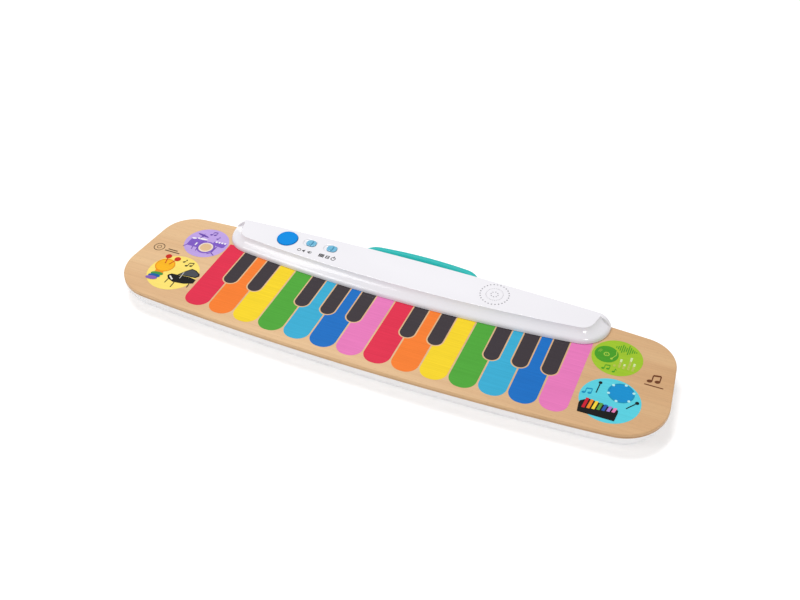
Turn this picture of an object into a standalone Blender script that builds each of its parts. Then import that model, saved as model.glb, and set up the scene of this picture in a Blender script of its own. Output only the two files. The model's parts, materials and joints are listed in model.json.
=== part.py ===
"""Toy electronic keyboard: a wooden touch panel between a gloss console and a base tray.

Sizes are in millimetres, turned into metres by MM where a mesh is made. Places are in the
panel's frame: X along the keys, Y towards the console, and Z up from the panel's top face.
"""

import math
from collections import namedtuple

import bmesh
import bpy
from mathutils import Vector

MM = 0.001
GAP = 0.3

# Panel
BOW_X = 182.0
PANEL_THICKNESS = 5.0
PANEL_EDGE_ROUND = 1.2
PANEL_CORNER_STEPS = 8

# Base tray
TRAY_INSET = 3.8
TRAY_WALL = 2.2
TRAY_FLOOR = 2.0
TRAY_BOTTOM = -18.0
# Each pair is how far in from TRAY_INSET, and how far up from TRAY_BOTTOM, a section lies.
TRAY_LOWER_SIDE = ((3.6, 0.0), (1.9, 0.7), (1.3, 2.4))
FOOT_HEIGHT = 1.0
FOOT_SUNK = 0.8
FOOT_RADIUS = 6.0
FOOT_PLACES = ((-215, -36), (215, -36), (-215, 36), (215, 36))

# Console
CONSOLE_WALL = 2.0
CONSOLE_FRONT_HEIGHT = 11.0
CONSOLE_BACK_HEIGHT = 12.5
CONSOLE_FRONT_Y = 31.0
CONSOLE_BACK_Y = 69.2
CONSOLE_SLOPE = (CONSOLE_BACK_HEIGHT - CONSOLE_FRONT_HEIGHT) / (CONSOLE_BACK_Y - CONSOLE_FRONT_Y)
CONSOLE_MIDDLE_Y = 50.0
# Each pair is how far out, and how high, a section of the console's side lies.
CONSOLE_SIDE = (
    (1.0, 0.0),
    (0.94, 0.2),
    (0.8, 0.36),
    (0.58, 0.5),
    (0.35, 0.65),
    (0.15, 0.82),
    (0.0, 1.0),
)
# The console's left end is a little nearer the middle than its right end.
CONSOLE_LEFT = 0.984

# Controls, as places on the console's top face
BUTTON_PLACE = (-126.3, 2.9)
BUTTON_RADIUS = 10.0
BUTTON_PROUD = 1.0
VOLUME_PLACE = (-101.7, 5.0)
MODE_PLACE = (-80.0, 5.0)
KNOB_LENGTH = 10.6
KNOB_WIDTH = 7.2
KNOB_TRAVEL = 3.0
STEM_HALF = 1.0
STEM_LOW = -3.3
RECESS_DEPTH = 1.2
SPEAKER_PLACE = (84.3, 2.2)
GRILLE_RINGS = ((13.2, 26), (3.3, 8))
GRILLE_HOLE_RADIUS = 0.55

# Speaker
SPEAKER_CLAMP_TOP = -8.3
SPEAKER_CLAMP_THICKNESS = 1.0
SPEAKER_CLAMP_WIDTH = 6.4
CLAMP_REACH = 19.0
CLAMP_RING_RADIUS = 10.5
MAGNET_RADIUS = 7.4

# Main board
BOARD_TOP = -9.0
BOARD_THICKNESS = 1.2
BOARD_LOW = (-152.0, -11.0)
BOARD_HIGH = (-62.0, 12.0)
BOARD_SCREWS = ((-148.0, -7.5), (-148.0, 8.5), (-66.0, -8.0))
SWITCH_LENGTH = 8.6
SWITCH_WIDTH = 4.4
SWITCH_HEIGHT = 3.5
LEVER_HALF = 0.8
FILM_HALF_LENGTH = 184.0
FILM_FRONT_Y = -59.4
FILM_BACK_Y = 23.6
RIBBON_X = -108.0
FILM_THICKNESS = 0.25
RIBBON_HALF_WIDTH = 7.5

# Wires
WIRE_RADIUS = 0.55

# Handle
HANDLE_RADIUS = 4.75
HANDLE_HALF_WIDTH = 57.0
HANDLE_BACK_Y = 90.7
HANDLE_BOW = -2.4
HANDLE_BEND = 14.0
HANDLE_Z = -5.25
HANDLE_ROOT_Y = 55.0
HANDLE_RELIEF_Y = 70.4
HANDLE_PAD_RADIUS = 5.4

# Battery box
BATTERY_Y = 45.0
CELL_RADIUS = 5.25
CELL_LENGTH = 43.6
CELL_NUB = 0.9
CELL_PITCH = 10.8
CELL_Z = -10.1
POCKET_HALF_LENGTH = 26.5
POCKET_HALF_WIDTH = 16.2
POCKET_TOP = -4.0
CONTACT_X = POCKET_HALF_LENGTH - 0.55
CONTACT_LOW = -15.2
SPRING_TURNS = 3.0
DOOR_THICKNESS = 2.0
DOOR_X = (-28.0, 38.0)
DOOR_HALF_WIDTH = 17.6
DOOR_CORNER = 3.0
DOOR_SCREW_X = 32.8
DOOR_SCREW_HEAD_RADIUS = 2.4

# Fasteners
CASE_SCREWS = ((-168.0, 48.0), (-50.0, 46.0), (52.0, 46.0), (124.0, 48.0), (168.0, 48.0))
PANEL_SCREWS = ((-224.0, -34.0), (224.0, -34.0), (-226.0, 26.0), (226.0, 26.0))
SCREW_HEAD_RADIUS = 2.6
SCREW_HEAD_HEIGHT = 1.6
SCREW_RADIUS = 1.3
SMALL_SCREW_RADIUS = 1.0
SMALL_SCREW_HEAD_RADIUS = 2.2
BOSS_RADIUS = 4.2
CASE_POST_RADIUS = 3.3
SMALL_POST_RADIUS = 2.6
COUNTERBORE_RADIUS = 3.0
COUNTERBORE_TOP = -13.0

# Slot in the panel that the console and the battery box share
SLOT_X = (-156.0, 112.0)
SLOT_Y = (36.0, 61.5)
BOX_SLOT_X = (-31.4, 41.4)
BOX_SLOT_Y = (24.8, 65.2)

CENTRE_Y = (-68.1 + HANDLE_BACK_Y + HANDLE_RADIUS) / 2
PANEL_TOP_Z = FOOT_HEIGHT - TRAY_BOTTOM

Shape = namedtuple(
    "Shape", "front_y front_bow back_y back_bow front_x back_x front_radius back_radius"
)
PANEL_SHAPE = Shape(-68.1, 5.97, 69.6, -4.85, 263.6, 252.1, 42.0, 32.0)
CONSOLE_BASE = Shape(21.1, 11.5, CONSOLE_BACK_Y, -4.85, 190.9, 190.9, 27.0, 2.0)
CONSOLE_TOP = Shape(CONSOLE_FRONT_Y, 10.4, CONSOLE_BACK_Y, -4.85, 175.4, 181.2, 13.0, 2.0)


# Scene helpers


def clear_scene():
    for old in list(bpy.data.objects):
        bpy.data.objects.remove(old)


def new_collection(name):
    collection = bpy.data.collections.new(name)
    bpy.context.scene.collection.children.link(collection)
    return collection


def new_material(name, colour, roughness, metallic=0.0):
    material = bpy.data.materials.new(name)
    material.use_nodes = True
    shader = material.node_tree.nodes["Principled BSDF"]
    shader.inputs["Base Color"].default_value = (*colour, 1.0)
    shader.inputs["Roughness"].default_value = roughness
    shader.inputs["Metallic"].default_value = metallic
    return material


def new_empty(name, location, parent=None, tilt=0.0):
    empty = bpy.data.objects.new(name, None)
    empty.location = [value * MM for value in location]
    empty.rotation_euler = (tilt, 0.0, 0.0)
    empty.parent = parent
    parts.objects.link(empty)
    return empty


def place(obj, parent, location, material=None, collection=None):
    obj.location = [value * MM for value in location]
    obj.parent = parent
    if material:
        obj.data.materials.append(material)
    (collection or parts).objects.link(obj)
    return obj


def as_helper(obj):
    obj.hide_render = True
    obj.display_type = "WIRE"
    return obj


def cut(obj, tools, operation="DIFFERENCE"):
    """Cuts or joins every object of the tools collection."""
    modifier = obj.modifiers.new(operation.lower(), "BOOLEAN")
    modifier.operation = operation
    modifier.solver = "EXACT"
    modifier.operand_type = "COLLECTION"
    modifier.collection = tools
    return obj


def tool_collection(name):
    collection = bpy.data.collections.new(name)
    cutters.children.link(collection)
    return collection


def smooth(obj, angle=35.0):
    obj.data.shade_smooth()
    obj.data.set_sharp_from_angle(angle=math.radians(angle))
    return obj


# Outlines


def bow_points(middle_y, bow, half_length, steps):
    """Points on a shallow bow from -X to +X. Its ends lie bow away from its middle at BOW_X."""
    xs = [half_length * (2 * i / steps - 1) for i in range(steps + 1)]
    return [(x, middle_y + bow * (x / BOW_X) ** 2) for x in xs]


def fillet(before, corner, after, radius, steps):
    """The arc of this radius that rounds the corner between two straight lines."""
    corner = Vector(corner)
    back = (Vector(before) - corner).normalized()
    ahead = (Vector(after) - corner).normalized()
    half = back.angle(ahead) / 2
    centre = corner + (back + ahead).normalized() * radius / math.sin(half)
    start = corner + back * radius / math.tan(half) - centre
    end = corner + ahead * radius / math.tan(half) - centre
    first = math.atan2(start.y, start.x)
    turn = (math.atan2(end.y, end.x) - first + math.pi) % math.tau - math.pi
    angles = [first + turn * i / steps for i in range(steps + 1)]
    return [(centre.x + radius * math.cos(a), centre.y + radius * math.sin(a)) for a in angles]


def bowed_outline(shape, corner_steps=6, arc_steps=8):
    """A symmetric outline: bowed front and back edges, straight ends and four rounded corners."""
    front_corner = (shape.front_x, shape.front_y + shape.front_bow * (shape.front_x / BOW_X) ** 2)
    back_corner = (shape.back_x, shape.back_y + shape.back_bow * (shape.back_x / BOW_X) ** 2)
    front_half = shape.front_x - 1.3 * shape.front_radius
    back_half = shape.back_x - 1.3 * shape.back_radius
    front = bow_points(shape.front_y, shape.front_bow, front_half, arc_steps)
    back = bow_points(shape.back_y, shape.back_bow, back_half, arc_steps)[::-1]
    right = fillet(front[-1], front_corner, back_corner, shape.front_radius, corner_steps)
    right += fillet(front_corner, back_corner, back[0], shape.back_radius, corner_steps)
    left = [(-x, y) for x, y in reversed(right)]
    return front + right + back + left


def inset(shape, amount):
    return Shape(
        shape.front_y + amount,
        shape.front_bow,
        shape.back_y - amount,
        shape.back_bow,
        shape.front_x - amount,
        shape.back_x - amount,
        shape.front_radius - amount,
        max(shape.back_radius - amount, 0.5),
    )


def between(low, high, share):
    return Shape(*(a + (b - a) * share for a, b in zip(low, high)))


def rounded_box(low, high, radius, steps=4):
    """A rectangle's outline with rounded corners."""
    corners = [(low[0], low[1]), (high[0], low[1]), (high[0], high[1]), (low[0], high[1])]
    points = []
    for i, corner in enumerate(corners):
        points += fillet(corners[i - 1], corner, corners[(i + 1) % 4], radius, steps)
    return points


def stadium(length, width, steps=8):
    """The outline of a round-ended bar along X."""
    radius = width / 2
    reach = length / 2 - radius
    angles = [math.pi * (i / steps - 0.5) for i in range(steps + 1)]
    right = [(reach + radius * math.cos(a), radius * math.sin(a)) for a in angles]
    return right + [(-x, -y) for x, y in right]


# Solids


def plate(name, outlines, low, high):
    """A flat solid from z = low to high. Outlines after the first are its holes."""
    curve = bpy.data.curves.new(name, "CURVE")
    curve.dimensions = "2D"
    curve.fill_mode = "BOTH"
    curve.extrude = (high - low) / 2 * MM
    for outline in outlines:
        spline = curve.splines.new("POLY")
        spline.points.add(len(outline) - 1)
        for point, (x, y) in zip(spline.points, outline):
            point.co = (x * MM, y * MM, 0.0, 1.0)
        spline.use_cyclic_u = True
    return welded(name, curve, (low + high) / 2)


def tube(name, path, radius, resolution):
    """A round bar along the path, with capped ends."""
    curve = bpy.data.curves.new(name, "CURVE")
    curve.dimensions = "3D"
    curve.bevel_depth = radius * MM
    curve.bevel_resolution = resolution
    curve.use_fill_caps = True
    spline = curve.splines.new("POLY")
    spline.points.add(len(path) - 1)
    for point, place_mm in zip(spline.points, path):
        point.co = (*(value * MM for value in place_mm), 1.0)
    return welded(name, curve, 0.0)


def welded(name, curve, height):
    """A mesh object made from the curve, raised by height, with its caps joined on."""
    guide = bpy.data.objects.new(name, curve)
    bpy.context.scene.collection.objects.link(guide)
    graph = bpy.context.evaluated_depsgraph_get()
    mesh = bpy.data.meshes.new_from_object(guide.evaluated_get(graph))
    bpy.data.objects.remove(guide)
    work = bmesh.new()
    work.from_mesh(mesh)
    bmesh.ops.remove_doubles(work, verts=work.verts, dist=1e-6)
    bmesh.ops.translate(work, verts=work.verts, vec=(0.0, 0.0, height * MM))
    bmesh.ops.recalc_face_normals(work, faces=work.faces)
    work.to_mesh(mesh)
    work.free()
    mesh.name = name
    mesh.materials.clear()
    return bpy.data.objects.new(name, mesh)


def turned(name, profile, steps=20, closed=False):
    """A solid turned about Z. The profile of (radius, z) points runs down its outer side."""
    mesh = bpy.data.meshes.new(name)
    points = [(radius * MM, 0.0, z * MM) for radius, z in profile]
    edges = [(i, i + 1) for i in range(len(points) - 1)]
    if closed:
        edges.append((len(points) - 1, 0))
    mesh.from_pydata(points, edges, [])
    obj = bpy.data.objects.new(name, mesh)
    screw = obj.modifiers.new("turn", "SCREW")
    screw.steps = steps
    screw.render_steps = steps
    screw.use_merge_vertices = True
    screw.merge_threshold = 0.00001
    return obj


def rod(name, radius, low, high, sides=16):
    """A cylinder along Z from z = low to high."""
    mesh = bpy.data.meshes.new(name)
    work = bmesh.new()
    depth = (high - low) * MM
    bmesh.ops.create_cone(
        work, cap_ends=True, segments=sides, radius1=radius * MM, radius2=radius * MM, depth=depth
    )
    bmesh.ops.translate(work, verts=work.verts, vec=(0.0, 0.0, (low + high) / 2 * MM))
    work.to_mesh(mesh)
    work.free()
    return bpy.data.objects.new(name, mesh)


def block(name, low, high):
    """A box between two corners."""
    mesh = bpy.data.meshes.new(name)
    work = bmesh.new()
    bmesh.ops.create_cube(work, size=1.0)
    size = [(b - a) * MM for a, b in zip(low, high)]
    middle = [(a + b) / 2 * MM for a, b in zip(low, high)]
    bmesh.ops.scale(work, verts=work.verts, vec=size)
    bmesh.ops.translate(work, verts=work.verts, vec=middle)
    work.to_mesh(mesh)
    work.free()
    return bpy.data.objects.new(name, mesh)


def loft(name, sections):
    """A solid skinned over outlines of equal length, lowest first, as lists of (x, y, z)."""
    mesh = bpy.data.meshes.new(name)
    work = bmesh.new()
    rings = []
    for section in sections:
        rings.append([work.verts.new([value * MM for value in point]) for point in section])
    count = len(rings[0])
    for lower, upper in zip(rings, rings[1:]):
        for i in range(count):
            j = (i + 1) % count
            work.faces.new((lower[i], lower[j], upper[j], upper[i]))
    work.faces.new(rings[-1])
    work.faces.new(rings[0][::-1])
    work.to_mesh(mesh)
    work.free()
    return bpy.data.objects.new(name, mesh)


def screw(name, parent, x, y, head_top, length, small=False):
    """A self-tapping screw that points up, with its pan head under head_top."""
    radius = SMALL_SCREW_RADIUS if small else SCREW_RADIUS
    head_radius = SMALL_SCREW_HEAD_RADIUS if small else SCREW_HEAD_RADIUS
    profile = [
        (0.0, head_top + length),
        (radius, head_top + length - 1.2),
        (radius, head_top),
        (head_radius, head_top),
        (head_radius, head_top - 0.8),
        (head_radius - 0.7, head_top - SCREW_HEAD_HEIGHT),
        (0.0, head_top - SCREW_HEAD_HEIGHT),
    ]
    return place(turned(name, profile, 12), parent, (x, y, 0), STEEL)


def stand_on(tools, obj, parent, location):
    """Places a cutter, or a boss to be joined, in its tool collection."""
    return place(as_helper(obj), parent, location, collection=tools)


def console_top_z(y):
    return CONSOLE_FRONT_HEIGHT + CONSOLE_SLOPE * (y - CONSOLE_FRONT_Y)


# The object's pieces


def make_panel():
    outline = bowed_outline(PANEL_SHAPE, PANEL_CORNER_STEPS)
    panel = plate("wood_panel", [outline], -PANEL_THICKNESS, 0.0)
    edge = panel.modifiers.new("soft_edge", "BEVEL")
    edge.width = PANEL_EDGE_ROUND * MM
    edge.segments = 2
    edge.limit_method = "ANGLE"
    edge.angle_limit = math.radians(60)
    tools = tool_collection("panel_cutters")
    slot = [
        (SLOT_X[0], SLOT_Y[0]),
        (BOX_SLOT_X[0], SLOT_Y[0]),
        (BOX_SLOT_X[0], BOX_SLOT_Y[0]),
        (BOX_SLOT_X[1], BOX_SLOT_Y[0]),
        (BOX_SLOT_X[1], SLOT_Y[0]),
        (SLOT_X[1], SLOT_Y[0]),
        (SLOT_X[1], SLOT_Y[1]),
        (BOX_SLOT_X[1], SLOT_Y[1]),
        (BOX_SLOT_X[1], BOX_SLOT_Y[1]),
        (BOX_SLOT_X[0], BOX_SLOT_Y[1]),
        (BOX_SLOT_X[0], SLOT_Y[1]),
        (SLOT_X[0], SLOT_Y[1]),
    ]
    below = -PANEL_THICKNESS - 1
    stand_on(tools, plate("panel_slot", [slot], below, 1), frame, (0, 0, 0))
    for x, y in CASE_SCREWS:
        if not SLOT_X[0] < x < SLOT_X[1]:
            hole = rod("panel_hole", SCREW_RADIUS + GAP, below, 1, 12)
            stand_on(tools, hole, frame, (x, y, 0))
    for x, y in PANEL_SCREWS:
        pilot = rod("panel_pilot", SCREW_RADIUS + GAP, below, -1.2, 12)
        stand_on(tools, pilot, frame, (x, y, 0))
    cut(place(panel, frame, (0, 0, 0), WOOD), tools)


def make_tray():
    rim = -PANEL_THICKNESS - GAP
    steps = [(TRAY_INSET + inward, TRAY_BOTTOM + up) for inward, up in TRAY_LOWER_SIDE]
    steps.append((TRAY_INSET, rim))
    sections = []
    for amount, z in steps:
        sections.append([(x, y, z) for x, y in bowed_outline(inset(PANEL_SHAPE, amount))])
    tray = place(loft("base_tray", sections), frame, (0, 0, 0), WHITE)
    floor_z = TRAY_BOTTOM + TRAY_FLOOR
    hollow_outline = bowed_outline(inset(PANEL_SHAPE, TRAY_INSET + 1.3 + TRAY_WALL))
    hollow = tool_collection("tray_hollow")
    stand_on(hollow, plate("tray_inside", [hollow_outline], floor_z, 0), frame, (0, 0, 0))
    cut(tray, hollow)
    cut(tray, tray_bosses(floor_z - 0.5, rim), "UNION")
    tools = tool_collection("tray_cutters")
    bore_tray(tools)
    open_battery_box(tools)
    for x, y in FOOT_PLACES:
        recess = rod("foot_recess", FOOT_RADIUS + GAP, TRAY_BOTTOM - 1, TRAY_BOTTOM + FOOT_SUNK)
        stand_on(tools, recess, frame, (x, y, 0))
    cut(tray, tools)


def tray_bosses(root, rim):
    """The screw bosses and the battery box that stand on the tray's floor."""
    bosses = tool_collection("tray_bosses")
    for x, y in CASE_SCREWS:
        in_slot = SLOT_X[0] < x < SLOT_X[1]
        boss = rod("case_boss", BOSS_RADIUS, root, -GAP if in_slot else rim)
        stand_on(bosses, boss, frame, (x, y, 0))
    for x, y in PANEL_SCREWS:
        stand_on(bosses, rod("panel_boss", BOSS_RADIUS, root, rim), frame, (x, y, 0))
    for side in (-1, 1):
        boss = rod("handle_boss", BOSS_RADIUS, root, HANDLE_Z - HANDLE_RADIUS - GAP)
        stand_on(bosses, boss, frame, (side * HANDLE_HALF_WIDTH, HANDLE_ROOT_Y, 0))
    box_low = (DOOR_X[0] - 2.5, BATTERY_Y - DOOR_HALF_WIDTH - 2.0, root)
    box_high = (DOOR_X[1] + 2.5, BATTERY_Y + DOOR_HALF_WIDTH + 2.0, -2.5)
    stand_on(bosses, block("battery_box", box_low, box_high), frame, (0, 0, 0))
    return bosses


def bore_tray(tools):
    """The screws' counterbores and clearance holes, and the notches for the handle's roots."""
    below = TRAY_BOTTOM - 1
    for x, y in CASE_SCREWS + PANEL_SCREWS:
        bore = rod("counterbore", COUNTERBORE_RADIUS, below, COUNTERBORE_TOP, 12)
        stand_on(tools, bore, frame, (x, y, 0))
        hole = rod("clearance", SCREW_RADIUS + GAP, COUNTERBORE_TOP - 1, 1, 12)
        stand_on(tools, hole, frame, (x, y, 0))
    for side in (-1, 1):
        x = side * HANDLE_HALF_WIDTH
        bore_top = COUNTERBORE_TOP - 0.4
        bore = rod("counterbore", COUNTERBORE_RADIUS, below, bore_top, 12)
        stand_on(tools, bore, frame, (x, HANDLE_ROOT_Y, 0))
        hole = rod("clearance", SCREW_RADIUS + GAP, bore_top - 1, -9, 12)
        stand_on(tools, hole, frame, (x, HANDLE_ROOT_Y, 0))
        notch = rod("handle_notch", HANDLE_RADIUS + GAP, 5, 25)
        place_of_notch = (x, HANDLE_ROOT_Y, HANDLE_Z)
        stand_on(tools, notch, frame, place_of_notch).rotation_euler.x = -math.pi / 2


def open_battery_box(tools):
    """The cells' pocket, the door's recess and its screw hole, and the slots for two solder tails."""
    pocket_low = (-POCKET_HALF_LENGTH, BATTERY_Y - POCKET_HALF_WIDTH, TRAY_BOTTOM - 1)
    pocket_high = (POCKET_HALF_LENGTH, BATTERY_Y + POCKET_HALF_WIDTH, POCKET_TOP)
    stand_on(tools, block("battery_pocket", pocket_low, pocket_high), frame, (0, 0, 0))
    recess_top = TRAY_BOTTOM + DOOR_THICKNESS + GAP
    recess_outline = door_outline(GAP)
    recess = plate("door_recess", [recess_outline], TRAY_BOTTOM - 1, recess_top)
    stand_on(tools, recess, frame, (0, 0, 0))
    hole = rod("door_screw_hole", SCREW_RADIUS, recess_top - 1, -7, 12)
    stand_on(tools, hole, frame, (DOOR_SCREW_X, BATTERY_Y, 0))
    for side in (-1, 1):
        tail_slot = block("tail_slot", (-0.6, -1.4, POCKET_TOP - 1), (0.6, 1.4, 0))
        stand_on(tools, tail_slot, frame, (side * CONTACT_X, BATTERY_Y - side * CELL_PITCH, 0))


def door_outline(margin):
    low = (DOOR_X[0] - margin, BATTERY_Y - DOOR_HALF_WIDTH - margin)
    high = (DOOR_X[1] + margin, BATTERY_Y + DOOR_HALF_WIDTH + margin)
    return rounded_box(low, high, DOOR_CORNER + margin)


def console_sections(wall, low):
    """The outer skin's sections when wall is 0, and the hollow's when it is the wall's thickness."""
    sections = []
    for share, height in CONSOLE_SIDE:
        outline = bowed_outline(inset(between(CONSOLE_TOP, CONSOLE_BASE, share), wall))
        outline = [(x * CONSOLE_LEFT if x < 0 else x, y) for x, y in outline]
        sections.append([(x, y, low + height * (console_top_z(y) - wall - low)) for x, y in outline])
    return sections


def make_console():
    console = place(loft("console_cover", console_sections(0.0, GAP)), frame, (0, 0, 0), WHITE)
    hollow = tool_collection("console_hollow")
    stand_on(hollow, loft("console_inside", console_sections(CONSOLE_WALL, -1.0)), frame, (0, 0, 0))
    cut(console, hollow)

    bosses = tool_collection("console_bosses")
    ceiling = -CONSOLE_WALL / 2
    for x, y in CASE_SCREWS:
        post = rod("case_post", CASE_POST_RADIUS, GAP, console_top_z(y) + ceiling)
        stand_on(bosses, post, frame, (x, y, 0))
    for x, y in BOARD_SCREWS:
        post = rod("board_post", SMALL_POST_RADIUS, BOARD_TOP + GAP, ceiling, 12)
        stand_on(bosses, post, console_top, (x, y, 0))
    for x in clamp_xs():
        post = rod("clamp_post", SMALL_POST_RADIUS, SPEAKER_CLAMP_TOP + GAP, ceiling, 12)
        stand_on(bosses, post, console_top, (x, SPEAKER_PLACE[1], 0))
    cut(console, bosses, "UNION")

    tools = tool_collection("console_cutters")
    small_pilot_radius = SMALL_SCREW_RADIUS + GAP
    for x, y in CASE_SCREWS:
        pilot = rod("case_pilot", SCREW_RADIUS + GAP, -1, 8, 12)
        stand_on(tools, pilot, frame, (x, y, 0))
    for x, y in BOARD_SCREWS:
        pilot = rod("board_pilot", small_pilot_radius, BOARD_TOP - 1, -3, 8)
        stand_on(tools, pilot, console_top, (x, y, 0))
    for x in clamp_xs():
        pilot = rod("clamp_pilot", small_pilot_radius, SPEAKER_CLAMP_TOP - 1, -3, 8)
        stand_on(tools, pilot, console_top, (x, SPEAKER_PLACE[1], 0))
    hole = rod("button_hole", BUTTON_RADIUS + GAP, -4, 4, 32)
    stand_on(tools, hole, console_top, (*BUTTON_PLACE, 0))
    for x, y in (VOLUME_PLACE, MODE_PLACE):
        middle = (x - KNOB_TRAVEL / 2, y, 0)
        dish_outline = stadium(KNOB_LENGTH + KNOB_TRAVEL + 2 * GAP, KNOB_WIDTH + 2 * GAP)
        dish = plate("knob_dish", [dish_outline], -RECESS_DEPTH, 4)
        stand_on(tools, dish, console_top, middle)
        half = STEM_HALF + KNOB_TRAVEL / 2 + GAP
        slot = block("knob_slot", (-half, -1.1, -4), (half, 1.1, 0))
        stand_on(tools, slot, console_top, middle)
    for radius, count in GRILLE_RINGS:
        for i in range(count):
            angle = math.tau * i / count
            x = SPEAKER_PLACE[0] + radius * math.cos(angle)
            y = SPEAKER_PLACE[1] + radius * math.sin(angle)
            hole = rod("sound_hole", GRILLE_HOLE_RADIUS, -4, 4, 6)
            stand_on(tools, hole, console_top, (x, y, 0))
    cut(console, tools)


def clamp_xs():
    return SPEAKER_PLACE[0] - CLAMP_REACH, SPEAKER_PLACE[0] + CLAMP_REACH


def make_handle():
    corner = (HANDLE_HALF_WIDTH, HANDLE_BACK_Y + HANDLE_BOW)
    span = HANDLE_HALF_WIDTH - HANDLE_BEND
    back = []
    for x in (-span * 0.9, -span / 2, 0.0):
        back.append((x, HANDLE_BACK_Y + HANDLE_BOW * (x / span) ** 2))
    root = (-corner[0], HANDLE_ROOT_Y)
    bend = fillet(root, (-corner[0], corner[1]), back[0], HANDLE_BEND, 6)
    half = [root, (-corner[0], 66.0)] + bend + back
    path = half + [(-x, y) for x, y in reversed(half[:-1])]
    rail = tube("carry_handle", [(x, y, HANDLE_Z) for x, y in path], HANDLE_RADIUS, 3)
    place(rail, frame, (0, 0, 0), TEAL)
    pads = tool_collection("handle_pads")
    tools = tool_collection("handle_cutters")
    low = HANDLE_Z - HANDLE_RADIUS
    relief_end = HANDLE_RELIEF_Y - HANDLE_ROOT_Y
    for side, name in ((-1, "handle_screw_left"), (1, "handle_screw_right")):
        x = side * HANDLE_HALF_WIDTH
        pad = rod("handle_pad", HANDLE_PAD_RADIUS, low + 0.1, HANDLE_Z + 1)
        stand_on(pads, pad, frame, (x, HANDLE_ROOT_Y, 0))
        relief = block("panel_relief", (-8, -15, -PANEL_THICKNESS - 2 * GAP), (8, relief_end, 4))
        stand_on(tools, relief, frame, (x, HANDLE_ROOT_Y, 0))
        pilot = rod("handle_pilot", SCREW_RADIUS + GAP, low - 1, low + 3.2, 12)
        stand_on(tools, pilot, frame, (x, HANDLE_ROOT_Y, 0))
        screw(name, frame, x, HANDLE_ROOT_Y, COUNTERBORE_TOP - 0.7, 6.6)
    cut(cut(rail, pads, "UNION"), tools)


def make_button():
    """The button slides in the console's round hole, on the silicone dome that returns it."""
    profile = [
        (0.0, BUTTON_PROUD),
        (BUTTON_RADIUS - 0.9, BUTTON_PROUD - 0.05),
        (BUTTON_RADIUS - 0.25, BUTTON_PROUD - 0.35),
        (BUTTON_RADIUS, BUTTON_PROUD - 1.0),
        (BUTTON_RADIUS, -CONSOLE_WALL - GAP),
        (BUTTON_RADIUS + 1.2, -CONSOLE_WALL - GAP),
        (BUTTON_RADIUS + 1.2, -3.6),
        (BUTTON_RADIUS - 1.4, -3.6),
        (BUTTON_RADIUS - 1.4, -0.8),
        (3.0, -0.8),
        (3.0, -4.0),
        (0.0, -4.0),
    ]
    place(turned("song_button", profile, 32), console_top, (*BUTTON_PLACE, 0), BLUE)
    base = BOARD_TOP + GAP
    dome = [
        (0.0, -4.0 - GAP),
        (2.6, -4.0 - GAP),
        (3.0, -6.4),
        (5.2, base + 1.1),
        (6.6, base + 1.1),
        (6.6, base),
        (5.0, base),
        (2.4, -7.0),
        (0.0, -7.0),
    ]
    place(turned("button_dome", dome, 20), console_top, (*BUTTON_PLACE, 0), RUBBER)


def make_slider(name, switch_name, location):
    """A knob in its dish, the slide switch on the board below it, and the lever that joins them."""
    x, y = location
    stem = tool_collection(name + "_stem")
    low = -RECESS_DEPTH + GAP
    knob = plate(name, [stadium(KNOB_LENGTH, KNOB_WIDTH)], low, 0.5)
    place(knob, console_top, (x, y, 0), LIGHT_BLUE)
    shaft = block("knob_stem", (-STEM_HALF, -0.8, STEM_LOW), (STEM_HALF, 0.8, low + 0.5))
    stand_on(stem, shaft, console_top, (x, y, 0))
    ridge = plate("knob_ridge", [stadium(KNOB_WIDTH - 1.4, 2.4, 4)], low + 0.5, 1.8)
    stand_on(stem, ridge, console_top, (x, y, 0)).rotation_euler.z = math.pi / 2
    cut(knob, stem, "UNION")

    body_low = BOARD_TOP + GAP
    body_top = body_low + SWITCH_HEIGHT
    slot_floor = body_top - 1.5
    middle = (x - KNOB_TRAVEL / 2, y, 0)
    half_length = SWITCH_LENGTH / 2
    half_width = SWITCH_WIDTH / 2
    body = block(
        switch_name, (-half_length, -half_width, body_low), (half_length, half_width, body_top)
    )
    place(body, console_top, middle, STEEL)
    tools = tool_collection(switch_name + "_slot")
    half = LEVER_HALF + KNOB_TRAVEL / 2 + GAP
    slot = block("lever_slot", (-half, -1.1, slot_floor), (half, 1.1, 0))
    stand_on(tools, slot, console_top, middle)
    cut(body, tools)
    lever_low = (-LEVER_HALF, -LEVER_HALF, slot_floor + GAP)
    lever_high = (LEVER_HALF, LEVER_HALF, STEM_LOW - GAP)
    lever = block(switch_name + "_lever", lever_low, lever_high)
    place(lever, console_top, (x, y, 0), BLACK)


def make_board():
    holes = []
    for x, y in BOARD_SCREWS:
        holes.append([(x + a, y + b) for a, b in stadium(2.6, 2.6, 4)])
    outline = rounded_box(BOARD_LOW, BOARD_HIGH, 1.5, 2)
    board = plate("main_board", [outline] + holes, BOARD_TOP - BOARD_THICKNESS, BOARD_TOP)
    place(board, console_top, (0, 0, 0), GREEN)
    for i, (x, y) in enumerate(BOARD_SCREWS, 1):
        head_top = BOARD_TOP - BOARD_THICKNESS - GAP
        screw(f"board_screw_{i}", console_top, x, y, head_top, 6.5, small=True)
    base = BOARD_TOP + GAP
    chip = block("sound_chip", (-5, -5, base), (5, 5, base + 1.5))
    place(chip, console_top, (-90, -5.4, 0), BLACK)
    connector_half = RIBBON_HALF_WIDTH + 0.5
    connector = block("ribbon_connector", (-connector_half, -1.8, base), (connector_half, 1.8, base + 2))
    place(connector, console_top, (RIBBON_X, -8.9, 0), IVORY)


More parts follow.
